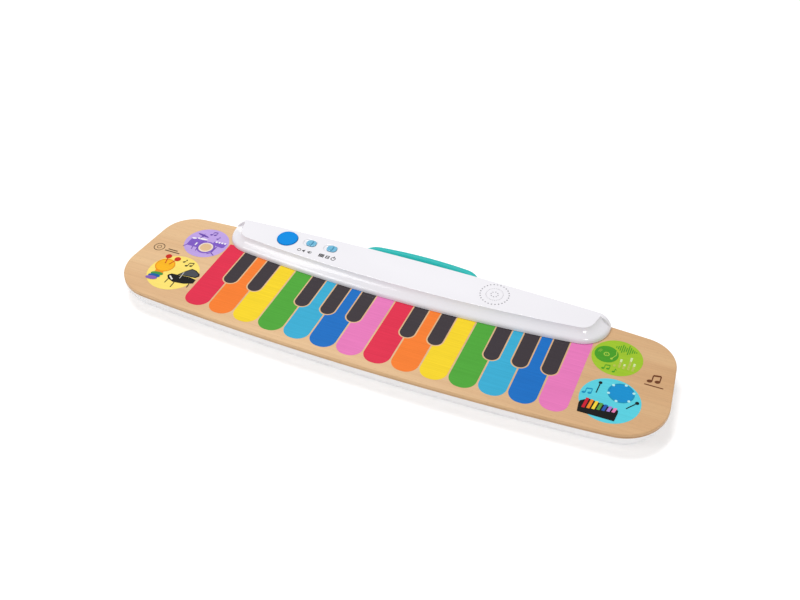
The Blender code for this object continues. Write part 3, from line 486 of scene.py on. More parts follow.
def ellipse(x, y, half_length, half_width, turn=0.0, steps=28):
    c, s = math.cos(math.radians(turn)), math.sin(math.radians(turn))
    points = [(half_length * px, half_width * py) for px, py in circle(0, 0, 1, steps)]
    return [(x + c * px - s * py, y + s * px + c * py) for px, py in points]


def stadium(length, width, steps=16):
    radius = width / 2
    reach = length / 2 - radius
    angles = [math.pi * (i / steps - 0.5) for i in range(steps + 1)]
    right = [(reach + radius * math.cos(a), radius * math.sin(a)) for a in angles]
    return right + [(-x, -y) for x, y in right]


def box_outline(low, high):
    return [(low[0], low[1]), (high[0], low[1]), (high[0], high[1]), (low[0], high[1])]


def rounded_box(low, high, radius, steps=6):
    corners = box_outline(low, high)
    points = []
    for i, corner in enumerate(corners):
        points += fillet(corners[i - 1], corner, corners[(i + 1) % 4], radius, steps)
    return points


def stroke(width, *lines):
    """One bar for each straight stretch of the lines."""
    bars = []
    for line in lines:
        for (ax, ay), (bx, by) in zip(line, line[1:]):
            length = math.hypot(bx - ax, by - ay)
            nx, ny = (ay - by) / length * width / 2, (bx - ax) / length * width / 2
            bars.append([(ax - nx, ay - ny), (bx - nx, by - ny), (bx + nx, by + ny), (ax + nx, ay + ny)])
    return bars


def ring(x, y, outer, inner, steps=40):
    """A flat ring as a strip of four-sided pieces."""
    outside, inside = circle(x, y, outer, steps), circle(x, y, inner, steps)
    pieces = []
    for i in range(steps):
        j = (i + 1) % steps
        pieces.append([outside[i], outside[j], inside[j], inside[i]])
    return pieces


def note_top(x, y, size):
    return x + 0.45 * size, y + 1.9 * size


def note_stem(x, y, size):
    """A note's head at (x, y) and its stem."""
    top = note_top(x, y, size)
    return [ellipse(x, y, 0.6 * size, 0.46 * size, 20), *stroke(0.27 * size, [(top[0], y), top])]


def note(x, y, size):
    """An eighth note whose head is at (x, y)."""
    top_x, top_y = top = note_top(x, y, size)
    flag = [top, (top_x, top_y - 0.6 * size), (top_x + 0.8 * size, top_y - 0.95 * size)]
    return note_stem(x, y, size) + [flag]


def note_pair(x, y, size, gap=1.7, rise=0.3):
    """Two heads joined by a slanting beam. The left head is at (x, y)."""
    right = (x + gap * size, y + rise * size)
    shapes = note_stem(x, y, size) + note_stem(*right, size)
    return shapes + stroke(0.5 * size, [note_top(x, y, size), note_top(*right, size)])


# Solids


def smooth(obj, angle=32.0):
    """Smooth shading that keeps crisp edges and flat faces."""
    obj.data.shade_smooth()
    obj.data.set_sharp_from_angle(angle=math.radians(angle))
    weight = obj.modifiers.new("flat_faces", "WEIGHTED_NORMAL")
    weight.keep_sharp = True
    weight.weight = 80
    return obj


def linked(name, data):
    obj = bpy.data.objects.new(name, data)
    bpy.context.scene.collection.objects.link(obj)
    return obj


def mesh_object(name, work, matrix):
    """The mesh object that a bmesh in a local frame becomes."""
    mesh = bpy.data.meshes.new(name)
    work.to_mesh(mesh)
    work.free()
    mesh.transform(matrix)
    return linked(name, mesh)


def solid(name, work, matrix):
    bmesh.ops.recalc_face_normals(work, faces=work.faces)
    return mesh_object(name, work, matrix)


def loft(name, sections, matrix=PANEL):
    """A solid through closed sections that all have the same number of points."""
    work = bmesh.new()
    rings = [[work.verts.new(point) for point in section] for section in sections]
    count = len(rings[0])
    for lower, upper in zip(rings, rings[1:]):
        for i in range(count):
            j = (i + 1) % count
            work.faces.new((lower[i], lower[j], upper[j], upper[i]))
    work.faces.new(rings[-1])
    work.faces.new(rings[0][::-1])
    return solid(name, work, matrix)


def prism(name, outline, low, high, matrix=PANEL):
    return loft(name, [[(x, y, z) for x, y in outline] for z in (low, high)], matrix)


def lathe(name, profile, matrix, steps=48):
    """A solid turned about Z. A profile of (radius, z) that starts and ends at radius 0 closes it."""
    work = bmesh.new()
    rings = []
    for radius, z in profile:
        if radius == 0:
            rings.append([work.verts.new((0, 0, z))] * steps)
        else:
            rings.append([work.verts.new((x, y, z)) for x, y in circle(0, 0, radius, steps)])
    for lower, upper in zip(rings, rings[1:]):
        for i in range(steps):
            j = (i + 1) % steps
            corners = dict.fromkeys((lower[i], lower[j], upper[j], upper[i]))
            if len(corners) > 2:
                work.faces.new(list(corners))
    return solid(name, work, matrix)


def tube(name, path, radius, steps=32):
    """A round bar along a path of (x, y, z), with capped ends."""
    points = [Vector(point) for point in path]
    sections = []
    for i, point in enumerate(points):
        along = (points[min(i + 1, len(points) - 1)] - points[max(i - 1, 0)]).normalized()
        side = along.cross(Vector((0, 0, 1))).normalized()
        up = side.cross(along)
        sections.append([point + side * x + up * y for x, y in circle(0, 0, radius, steps)])
    return loft(name, sections)


def carve(obj, tools, operation="DIFFERENCE"):
    """Cuts or joins the tools, one after another, and removes them."""
    collection = bpy.data.collections.new(obj.name + "_tools")
    for tool in tools:
        collection.objects.link(tool)
    modifier = obj.modifiers.new("carve", "BOOLEAN")
    modifier.operation = operation
    modifier.solver = "EXACT"
    modifier.operand_type = "COLLECTION"
    modifier.collection = collection
    graph = bpy.context.evaluated_depsgraph_get()
    mesh = bpy.data.meshes.new_from_object(obj.evaluated_get(graph))
    obj.modifiers.remove(modifier)
    obj.data = mesh
    for tool in tools:
        bpy.data.objects.remove(tool)
    bpy.data.collections.remove(collection)
    return obj


def bevel(obj, width):
    modifier = obj.modifiers.new("soft_edges", "BEVEL")
    modifier.width = width * MM
    modifier.segments = 2
    modifier.limit_method = "ANGLE"
    modifier.angle_limit = math.radians(40.0)
    return obj


def piece(obj, slot, node=None, body="case", material=None):
    """Gives a new piece its material and its body, and hides the CAD node that it stands for."""
    obj.data.materials.clear()
    obj.data.materials.append(material or MATERIALS[slot])
    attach(obj, body)
    if node:
        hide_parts(node)


def printed(name, shapes, level, material, at=(0.0, 0.0), matrix=PANEL, slot="beech"):
    """Flat printed shapes, as closed outlines round a place, at a layer above the face."""
    work = bmesh.new()
    for i, shape in enumerate(shapes):
        # Neighbouring shapes overlap, so each lies a hair above the last.
        z = level * LAYER + OVERLAP_STEP * (i % 8)
        face = work.faces.new([work.verts.new((at[0] + x, at[1] + y, z)) for x, y in shape])
        face.normal_update()
        if face.normal.z < 0:
            face.normal_flip()
    bmesh.ops.triangulate(work, faces=work.faces)
    piece(mesh_object(name, work, matrix), slot, material=material)


# The case


def quarter_round(radius, steps):
    """Pairs of how far in, and how far up, a rounded lower edge lies, from its foot outwards."""
    angles = [math.radians(90 * i / steps) for i in range(steps + 1)]
    return [(radius * (1 - math.sin(a)), radius * (1 - math.cos(a))) for a in angles]


def panel_loft(name, levels):
    """A solid inside the panel's outline. Each level is how far in, and how high, it lies."""
    sections = []
    for amount, z in levels:
        sections.append([(x, y, z) for x, y in bowed_outline(inset(PANEL_SHAPE, amount))])
    return loft(name, sections)


def make_panel():
    edge = quarter_round(PANEL_ROUND, 5)
    levels = [(inward, up - PANEL_THICKNESS) for inward, up in edge]
    levels += [(inward, -up) for inward, up in reversed(edge)]
    panel = panel_loft("beech_panel", levels)
    slots = [((-156.0, 36.0), (112.0, 61.5)), ((-31.4, 24.8), (41.4, 65.2))]
    tools = []
    for low, high in slots:
        tools.append(prism("slot", rounded_box(low, high, 0.8), -PANEL_THICKNESS - 1, 1))
    piece(smooth(carve(panel, tools)), "beech", "wood_panel")


def hole(radius, low, high, at, matrix=PANEL, steps=32):
    return prism("hole", circle(at[0], at[1], radius, steps), low, high, matrix)


def make_tray():
    levels = [
        (TRAY_INSET + TRAY_DRAFT + inward, TRAY_BOTTOM + up)
        for inward, up in quarter_round(TRAY_ROUND, 6)
    ]
    rim = -PANEL_THICKNESS - CLEARANCE
    tray = panel_loft("base_tray_moulding", levels + [(TRAY_INSET, rim)])
    wall = TRAY_INSET + TRAY_WALL
    carve(tray, [panel_loft("inside", [(wall, TRAY_BOTTOM + TRAY_FLOOR), (wall, 0.0)])])

    root = TRAY_BOTTOM + 1
    bosses = [hole(BOSS_RADIUS, root, rim, panel_middle(node)) for node in CASE_SCREWS]
    for node in HANDLE_SCREWS:
        top = HANDLE_Z - HANDLE_RADIUS - CLEARANCE
        bosses.append(hole(BOSS_RADIUS, root, top, panel_middle(node)))
    carve(tray, bosses, "UNION")

    below = TRAY_BOTTOM - 1
    tools = [hole(COUNTERBORE_RADIUS, below, COUNTERBORE_TOP, panel_middle(node)) for node in CASE_SCREWS]
    for node, side in HANDLE_SCREWS.items():
        tools.append(hole(COUNTERBORE_RADIUS, below, HANDLE_BORE_TOP, panel_middle(node)))
        root_at = Matrix.Translation((side * HANDLE_HALF_WIDTH, HANDLE_ROOT_Y, HANDLE_Z))
        notch = PANEL @ root_at @ Matrix.Rotation(-math.pi / 2, 4, "X")
        tools.append(hole(HANDLE_RADIUS + CLEARANCE, 5, 25, (0, 0), notch))
    for node in FEET:
        top = TRAY_BOTTOM + FOOT_SUNK
        tools.append(hole(FOOT_RADIUS + CLEARANCE, below, top, panel_middle(node)))
    low, high = panel_box("battery_door")
    gap = Vector((CLEARANCE, CLEARANCE))
    recess = rounded_box(low.xy - gap, high.xy + gap, DOOR_CORNER + CLEARANCE)
    tools.append(prism("door_recess", recess, below, high.z + CLEARANCE))
    carve(tray, tools)
    piece(smooth(tray), "white_plastic", "base_tray")


def make_door():
    low, high = panel_box("battery_door")
    door = prism("battery_door_cover", rounded_box(low.xy, high.xy, DOOR_CORNER), low.z, high.z)
    at = panel_middle("battery_door_screw")
    below = low.z - 1
    tools = [hole(2.7, below, low.z + 1.1, at), hole(1.3, below, high.z + 1, at)]
    middle_y = (low.y + high.y) / 2
    for i in range(5):
        x = low.x + 5.0 + 2.4 * i
        grip = rounded_box((x - 0.6, middle_y - 7), (x + 0.6, middle_y + 7), 0.55)
        tools.append(prism("grip", grip, below, low.z + 0.6))
    piece(smooth(bevel(carve(door, tools), 0.25)), "white_plastic", "battery_door")


def catmull(pairs, steps):
    """A smooth curve through pairs of numbers."""
    ends = [pairs[0]] + list(pairs) + [pairs[-1]]
    curve = []
    for a, b, c, d in zip(ends, ends[1:], ends[2:], ends[3:]):
        for i in range(steps):
            t = i / steps
            point = []
            for p, q, r, s in zip(a, b, c, d):
                bend = (2 * p - 5 * q + 4 * r - s) * t**2 + (3 * q - p - 3 * r + s) * t**3
                point.append(0.5 * (2 * q + (r - p) * t + bend))
            curve.append(tuple(point))
    return curve + [pairs[-1]]


def console_outline(shape):
    return [(x * CONSOLE_LEFT if x < 0 else x, y) for x, y in bowed_outline(shape, 14, 30)]


def console_sections(wall, low):
    sections = []
    for share, height in catmull(CONSOLE_SIDE, 5):
        outline = console_outline(inset(between(CONSOLE_TOP, CONSOLE_BASE, share), wall))
        top_share = 0.0 if wall else CONSOLE_EDGE_ROUND
        sections.append(
            [(x, y, low + height * (console_top_z(y) - wall - top_share - low)) for x, y in outline]
        )
    if not wall:
        for a in (20, 45, 70, 90):
            inward = CONSOLE_EDGE_ROUND * (1 - math.cos(math.radians(a)))
            drop = CONSOLE_EDGE_ROUND * (1 - math.sin(math.radians(a)))
            outline = console_outline(inset(CONSOLE_TOP, inward))
            sections.append([(x, y, console_top_z(y) - drop) for x, y in outline])
    return sections


def dish_cutter(outline_at, depth, at):
    """A recess in the console's top with a rounded floor and a softly rolled lip."""
    levels = [(grow, up - depth) for grow, up in DISH_FLOOR] + list(DISH_LIP)
    sections = [[(at[0] + x, at[1] + y, z) for x, y in outline_at(grow)] for grow, z in levels]
    return loft("dish", sections, CONSOLE)


def knob_dish(grow):
    half_x = (KNOB_LENGTH + KNOB_TRAVEL) / 2 + CLEARANCE + grow
    half_y = KNOB_WIDTH / 2 + CLEARANCE + grow
    return rounded_box((-half_x, -half_y), (half_x, half_y), KNOB_CORNER + CLEARANCE + grow, 10)


def button_hole(grow):
    return circle(0, 0, BUTTON_RADIUS + CLEARANCE + 0.3 * max(grow, 0.0), 64)


def make_console():
    console = loft("console_moulding", console_sections(0.0, CONSOLE_LOW))
    carve(console, [loft("inside", console_sections(CONSOLE_WALL, -1.0))])
    tools = []
    slot_x = STEM_HALF + KNOB_TRAVEL / 2 + CLEARANCE
    for x, y in KNOB_PLACES.values():
        middle_x = x - KNOB_TRAVEL / 2
        tools.append(dish_cutter(knob_dish, DISH_DEPTH, (middle_x, y)))
        slot = box_outline((middle_x - slot_x, y - 1.1), (middle_x + slot_x, y + 1.1))
        tools.append(prism("slot", slot, -4, -DISH_DEPTH + 0.5, CONSOLE))
    tools.append(dish_cutter(button_hole, 4.0, BUTTON_PLACE))
    for radius, count, size in GRILLE_RINGS:
        for x, y in circle(*SPEAKER_PLACE, radius, count):
            tools.append(hole(size, -4, 4, (x, y), CONSOLE, 10))
    carve(console, tools)
    piece(smooth(console, 38.0), "white_plastic", "console_cover", material=GLOSS_WHITE)


def make_rim(name, side):
    """The rounded rim that closes an end of the console along its back edge."""
    top = console_top_z(CONSOLE_BACK_Y) - 0.25
    profile = []
    for i in range(25):
        angle = math.radians(90 * i / 24)
        x = RIM_X + RIM_REACH * math.sin(angle) ** (2 / RIM_POWER)
        z = CONSOLE_LOW + (top - CONSOLE_LOW) * math.cos(angle) ** (2 / RIM_POWER)
        profile.append((x, z))
    profile += [(RIM_X - RIM_FOOT, CONSOLE_LOW), (RIM_X - RIM_FOOT, top)]
    # Each pair is how far back a section lies, and how much it shrinks to round the rim's edges.
    face = [(0.0, 0.7), (0.2, 0.25), (0.7, 0.0)]
    face += [(RIM_THICKNESS - back, shrink) for back, shrink in reversed(face)]
    sections = []
    for back, shrink in face:
        section = []
        for x, z in profile:
            y = CONSOLE_BACK_Y - 0.08 + CONSOLE_TOP.back_bow * (x / BOW_X) ** 2 - back
            reach = max(x - RIM_X, 0.0) / RIM_REACH
            lift = max(z - CONSOLE_LOW, 0.0) / (top - CONSOLE_LOW)
            along = side * (x - shrink * reach) * (CONSOLE_LEFT if side < 0 else 1.0)
            section.append((along, y, z - shrink * lift * (1.0 if x > RIM_X else 0.6)))
        sections.append(section)
    piece(smooth(loft(name, sections), 50.0), "white_plastic", material=GLOSS_WHITE)


def make_handle():
    span = HANDLE_HALF_WIDTH - HANDLE_BEND
    reach = span * 0.98
    back = []
    for i in range(13):
        x = -reach * (1 - i / 12)
        back.append((x, HANDLE_BACK_Y + HANDLE_BOW * (x / span) ** 2))
    slope = 2 * HANDLE_BOW * reach / span**2
    corner = (-HANDLE_HALF_WIDTH, back[0][1] + slope * (HANDLE_HALF_WIDTH - reach))
    root = (corner[0], HANDLE_ROOT_Y)
    bend = fillet(root, corner, back[0], HANDLE_BEND, 14)
    half = [root, (corner[0], 62.0), (corner[0], 68.0)] + bend + back
    path = half + [(-x, y) for x, y in reversed(half[:-1])]
    handle = tube("teal_carry_handle", [(x, y, HANDLE_Z) for x, y in path], HANDLE_RADIUS)
    tools = []
    for side in (-1, 1):
        x = side * HANDLE_HALF_WIDTH
        relief = rounded_box((x - 8, 40.0), (x + 8, HANDLE_RELIEF_Y), 1.0)
        tools.append(prism("relief", relief, -PANEL_THICKNESS - 0.6, 4))
    piece(smooth(carve(handle, tools)), "teal_plastic", "carry_handle")


# Fasteners and feet


def make_screw(node, head_radius=2.6, head_height=1.6, shank_radius=1.3):
    """A pan-head screw that points up, with a cross recess in its head."""
    at, length = standing(node)
    profile = [
        (0, 0.02), (head_radius * 0.55, 0.0), (head_radius * 0.85, head_height * 0.25),
        (head_radius, head_height * 0.6), (head_radius, head_height), (shank_radius, head_height),
    ]
    root_radius = shank_radius * 0.86
    for i in range(int((length - head_height - 1.6) / THREAD_PITCH)):
        z = head_height + 0.3 + THREAD_PITCH * i
        profile += [(root_radius, z), (shank_radius, z + 0.3), (root_radius, z + 0.6)]
    profile += [(root_radius, length - 1.2), (0, length)]
    screw = lathe(f"{node}_steel", profile, at, 24)
    half = head_radius * 0.62
    arm = rounded_box((-half, -0.28), (half, 0.28), 0.2)
    arms = []
    for turn in (20, 110):
        turned = at @ Matrix.Rotation(math.radians(turn), 4, "Z")
        arms.append(prism("cross", arm, -1, head_height * 0.55, turned))
    cross = carve(arms[0], arms[1:], "UNION")
    piece(smooth(carve(screw, [cross]), 40.0), "steel", node)


def make_foot(node):
    at, height = standing(node)
    profile = [
        (0, 0.25), (FOOT_RADIUS * 0.6, 0.25), (FOOT_RADIUS * 0.66, 0.0), (FOOT_RADIUS - 0.5, 0.0),
        (FOOT_RADIUS - 0.1, 0.15), (FOOT_RADIUS, 0.5), (FOOT_RADIUS, height), (0, height),
    ]
    foot = lathe(node.replace("rubber_foot", "foot_pad"), profile, at, 40)
    piece(smooth(foot), "rubber", node)


# Controls


def make_button():
    """The cap, dished on top and with a flange below, and the silicone dome under it."""
    rim, edge = BUTTON_RADIUS - 1.2, 0.55
    profile = [(rim * i / 6, 0.9 - 0.12 * (i / 6) ** 2) for i in range(7)]
    profile += [(BUTTON_RADIUS - 0.95, 0.98), (BUTTON_RADIUS - 0.7, 1.0)]
    for angle in map(math.radians, (25, 50, 75, 90)):
        profile.append((BUTTON_RADIUS - edge + edge * math.sin(angle), 0.45 + edge * math.cos(angle)))
    flange, hollow = BUTTON_RADIUS + 1.2, BUTTON_RADIUS - 1.4
    profile += [
        (BUTTON_RADIUS, -2.3), (flange, -2.3), (flange, -3.6), (hollow, -3.6), (hollow, -1.0),
        (3.0, -1.0), (3.0, -4.0), (0, -4.0),
    ]
    at = CONSOLE @ Matrix.Translation((*BUTTON_PLACE, 0))
    button = lathe("song_button_cap", profile, at, 64)
    piece(smooth(button), "blue_plastic", "song_button", "button")

    base = -8.7
    dome = [
        (0, -4.3), (2.6, -4.3), (2.9, -4.6), (3.0, -6.4), (3.5, -6.9), (5.0, base + 1.2),
        (6.4, base + 1.1), (6.6, base + 0.9), (6.6, base), (5.0, base), (2.4, -7.0), (0, -7.0),
    ]
    skin = lathe("button_dome_skin", dome, at, 40)
    piece(smooth(skin), "rubber", "button_dome", material=SILICONE)
    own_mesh(skin)


def knob_section(shrink, z):
    half = (KNOB_LENGTH / 2 - shrink, KNOB_WIDTH / 2 - shrink)
    outline = rounded_box((-half[0], -half[1]), half, KNOB_CORNER - shrink, 10)
    return [(x, y, z) for x, y in outline]


def ridge_section(shrink, z):
    """A stadium across the knob, for its finger ridge."""
    outline = stadium(KNOB_WIDTH - 1.4 - 2 * shrink, 2.4 - 2 * shrink, 10)
    return [(-y, x, z) for x, y in outline]


def make_knobs():
    low = CLEARANCE - DISH_DEPTH
    cap_sides = ((0.3, low), (0.0, low + 0.3), (0.0, 0.1), (0.15, 0.35), (0.5, 0.5), (1.4, 0.46), (2.6, 0.3))
    ridge_sides = ((0.0, low + 0.5), (0.0, 1.2), (0.12, 1.5), (0.4, 1.72), (0.8, 1.8))
    stem = box_outline((-STEM_HALF, -0.8), (STEM_HALF, 0.8))
    for name, place in KNOB_PLACES.items():
        at = CONSOLE @ Matrix.Translation((*place, 0))
        knob = loft(f"{name}_knob_cap", [knob_section(*side) for side in cap_sides], at)
        ridge = loft("ridge", [ridge_section(*side) for side in ridge_sides], at)
        carve(knob, [ridge, prism("stem", stem, STEM_LOW, low + 0.4, at)], "UNION")
        piece(smooth(knob, 45.0), "light_blue_plastic", f"{name}_slider", f"{name}_knob")


# Printing


KEY_COLOURS = (
    ("red", (226, 48, 78)),
    ("orange", (248, 128, 48)),
    ("yellow", (247, 214, 40)),
    ("green", (80, 168, 58)),
    ("light_blue", (58, 174, 212)),
    ("blue", (6, 112, 196)),
    ("pink", (233, 124, 188)),
)


def key_back(x):
    """Where a key ends, hidden under the console."""
    return KEY_BACK_Y + KEY_BACK_BOW * (x / BOW_X) ** 2


def dark_key_outline(x, grow):
    radius = DARK_KEY_WIDTH / 2 + grow
    tip = DARK_KEY_TIP_Y + DARK_KEY_TIP_BOW * (x / BOW_X) ** 2
    centre_y = tip + DARK_KEY_WIDTH / 2
    angles = [math.pi + math.pi * i / 20 for i in range(21)]
    end = [(x + radius * math.cos(a), centre_y + radius * math.sin(a)) for a in angles]
    back = key_back(x) + 4 * grow
    return end + [(x + radius, back), (x - radius, back)]


def make_keys():
    inks = [ink(name, *colour) for name, colour in KEY_COLOURS]
    dark = ink("charcoal", 62, 55, 60)
    low, high = LAYER * 0.2, LAYER
    for k in range(14):
        x = (k - 6.5) * KEY_PITCH
        tip = KEY_TIP_Y + KEY_TIP_BOW * (x / BOW_X) ** 2
        back = key_back(x)
        half = KEY_WIDTH / 2
        corners = [(x - half, back), (x - half, tip), (x + half, tip), (x + half, back)]
        left = fillet(corners[0], corners[1], corners[2], KEY_TIP_RADIUS, 16)
        right = fillet(corners[1], corners[2], corners[3], KEY_TIP_RADIUS, 16)
        outline = [corners[0]] + left + right + [corners[3]]
        name = f"key_area_{k + 1:02d}_{KEY_COLOURS[k % 7][0]}"
        key = prism(name, outline, low, high)
        near = [dark_x for dark_x in DARK_KEY_XS if abs(dark_x - x) < KEY_PITCH]
        tools = [prism("line", dark_key_outline(dark_x, DARK_KEY_LINE), -1, 1) for dark_x in near]
        if tools:
            carve(key, tools)
        piece(key, "beech", material=inks[k % 7])
    for i, x in enumerate(DARK_KEY_XS, 1):
        key = prism(f"dark_key_area_{i:02d}", dark_key_outline(x, 0.0), low, high)
        piece(key, "beech", material=dark)


def badge(name, at, radius, colour):
    printed(f"badge_{name}", [circle(0, 0, radius, 96)], 1, ink(name, *colour), at)


def make_drum_badge():
    at = (-203.85, 29.0)
    badge("lilac", at, 22.0, (192, 164, 230))
    violet = ink("violet", 128, 92, 196)
    deep = ink("deep_violet", 104, 72, 170)
    white = ink("white", 246, 242, 250)
    drums = [
        [(-17.4, -9.4), (-4.6, -9.4), (-4.6, 3.6), (-17.4, 1.2)],
        [(-12.8, -2.8), (-1.2, -2.8), (-1.0, 3.4), (-12.8, 4.4)],
        [(6.0, 0.4), (17.4, -1.4), (19.0, 0.0), (19.2, 6.2), (6.0, 4.8)],
        circle(2.8, -6.2, 9.0),
    ]
    printed("drum_shells", drums, 2, violet, at)
    details = [ellipse(-9.0, 9.6, 6.4, 1.2, -10), [(-10.0, 7.0), (-8.0, 7.0), (-8.8, 13.0)]]
    details += stroke(0.7, [(-9.0, 9.0), (-9.8, 4.0)])
    details += stroke(0.8, [(-17.0, -9.4), (-19.0, -12.6)], [(-10.0, -9.4), (-9.0, -13.6)])
    details += stroke(0.8, [(-5.0, -9.0), (-4.0, -14.4)])
    details += stroke(0.9, [(12.2, -1.0), (11.6, -11.6), (16.0, -14.4)])
    details += stroke(0.8, [(11.6, -11.6), (8.6, -14.6)])
    details += stroke(0.5, [(-4.6, 3.0), (-4.6, -9.0)])
    details += note_pair(-2.4, 13.4, 2.3, 1.6) + note(6.6, 9.6, 2.0)
    printed("drum_details", details, 3, deep, at)
    bands = [ellipse(-15.2, 2.4, 2.3, 1.2, 8), ellipse(-7.0, 4.2, 5.6, 1.3, 3)]
    for i in range(4):
        x, y = 7.4 + 3.0 * i, 3.9 + 0.25 * i
        bands.append(rounded_box((x, y), (x + 2.0, y + 2.2), 0.5, 3))
    bands.append(rounded_box((-9.6, -7.0), (-8.2, -2.6), 0.5, 3))
    printed("drum_highlights", bands, 3, white, at)
    printed("drum_hoop", ring(2.8, -6.2, 7.2, 5.6), 4, ink("cream", 240, 222, 206), at)
    printed("drum_skin", [circle(2.8, -6.2, 5.7)], 3, ink("tan", 226, 190, 146), at)


def make_piano_badge():
    at = (-209.5, -22.4)
    badge("pale_yellow", at, 24.8, (253, 228, 116))
    keyboard = [
        (-2.6, -4.2), (-0.4, -1.8), (6.0, -1.2), (18.0, 0.0), (25.6, -1.2), (25.8, -6.8),
        (18.0, -10.4), (7.0, -12.0), (0.0, -9.2), (-2.6, -6.0),
    ]
    lid = [
        (5.4, -1.0), (10.2, 6.8), (14.0, 11.6), (18.8, 10.8), (24.6, 7.4), (26.0, 4.4), (23.6, 0.8),
        (18.0, 0.4),
    ]
    inside = [
        (6.8, -0.4), (11.0, 6.6), (14.6, 10.4), (18.4, 9.8), (23.4, 6.8), (24.4, 4.4), (22.4, 1.8),
        (17.6, 1.4),
    ]
    legs = ([(0.6, -9.4), (0.4, -15.6)], [(8.6, -12.0), (8.8, -19.2)], [(22.6, -8.6), (23.2, -14.0)])
    body = [keyboard, lid] + stroke(1.0, *legs)
    body += note_pair(6.0, 13.4, 2.5, 1.7, 0.5) + note(1.2, 17.6, 2.2)
    printed("piano_body", body, 2, ink("black", 24, 22, 24), at)
    printed("piano_lid", [inside], 3, ink("slate", 74, 78, 84), at)
    keys = [[(-0.8, -5.8), (0.2, -4.6), (5.0, -8.4), (4.2, -9.6)]]
    keys += stroke(0.5, [(9.4, 4.4), (10.2, -5.0)])
    printed("piano_keys", keys, 3, ink("piano_white", 238, 236, 232), at)

    # A hand drum with a striped foot, and two red beaters
    ochre = ink("ochre", 240, 146, 24)
    printed("hand_drum_skin", [circle(-13.0, 6.6, 9.6, 64)], 2, ink("amber", 250, 184, 30), at)
    foot = [[(-18.0, -1.4), (-9.0, -2.6), (-7.6, -7.0), (-17.0, -6.0)]]
    printed("hand_drum_foot", foot, 2.5, ochre, at)
    printed("hand_drum_rim", ring(-13.0, 6.6, 9.6, 8.6, 64), 3, ochre, at)
    stripes = (
        ("green", (70, 150, 70), -7.0),
        ("navy", (24, 96, 164), -10.6),
        ("purple", (138, 98, 182), -14.0),
    )
    for i, (name, colour, y) in enumerate(stripes):
        band = [ellipse(-13.4 - 0.9 * i, y, 6.2 - 0.2 * i, 2.6, 8)]
        printed(f"hand_drum_{name}", band, 4 + i, ink(f"{name}_band", *colour), at)
    beaters = [circle(-17.0, 19.4, 3.1), circle(-6.8, 18.8, 3.1)]
    beaters += stroke(0.9, [(-17.0, 19.4), (-14.6, 9.0)], [(-6.8, 18.8), (-10.4, 9.0)])
    printed("beaters", beaters, 4, ink("scarlet", 204, 44, 30), at)


def make_record_badge():
    at = (204.8, 26.9)
    badge("lime", at, 22.0, (160, 198, 48))
    hub = (-9.6, 1.2)
    record = [circle(*hub, 10.3, 64)]
    for i, height in enumerate((2.4, 4.2, 6.8, 10.6, 8.0, 5.6, 11.6, 8.8, 5.4, 3.2, 1.8)):
        x = -3.6 + 1.76 * i
        middle = 13.2 - 0.06 * i
        record += stroke(0.85, [(x, middle - height / 2), (x, middle + height / 2)])
    record += note_pair(-8.4, -16.6, 2.4) + note(0.8, -17.6, 2.2)
    printed("record_disc", record, 2, ink("leaf", 74, 158, 40), at)
    lines = ring(*hub, 2.6, 1.7) + [circle(*hub, 0.5, 16)]
    angles = [math.radians(a) for a in range(140, 176, 7)]
    for reach in (6.0, 7.4):
        arc = [(hub[0] + reach * math.cos(a), hub[1] + reach * math.sin(a)) for a in angles]
        lines += stroke(0.45, arc)
    lines += stroke(0.7, [(-2.2, 8.0), (-1.4, 3.0), (-4.2, -2.4)]) + [circle(-4.4, -2.8, 1.2, 16)]
    printed("record_lines", lines, 3, ink("lime_line", 168, 206, 74), at)
    # Each column of level dots is its x, and how many of its dots are tan and then white.
    columns = ((0.0, 2, 0), (4.0, 6, 3), (7.8, 3, 2), (11.8, 9, 4), (15.6, 5, 3))
    dots = {"tan": [], "white": []}
    for x, count, bright in columns:
        for i in range(count + bright):
            y = -11.0 + 1.25 * i
            dot = rounded_box((x - 1.0, y), (x + 1.0, y + 0.75), 0.3, 3)
            dots["white" if i >= count else "tan"].append(dot)
    printed("level_dots_tan", dots["tan"], 2, ink("level_tan", 204, 196, 112), at)
    printed("level_dots_white", dots["white"], 2, ink("level_white", 240, 246, 206), at)


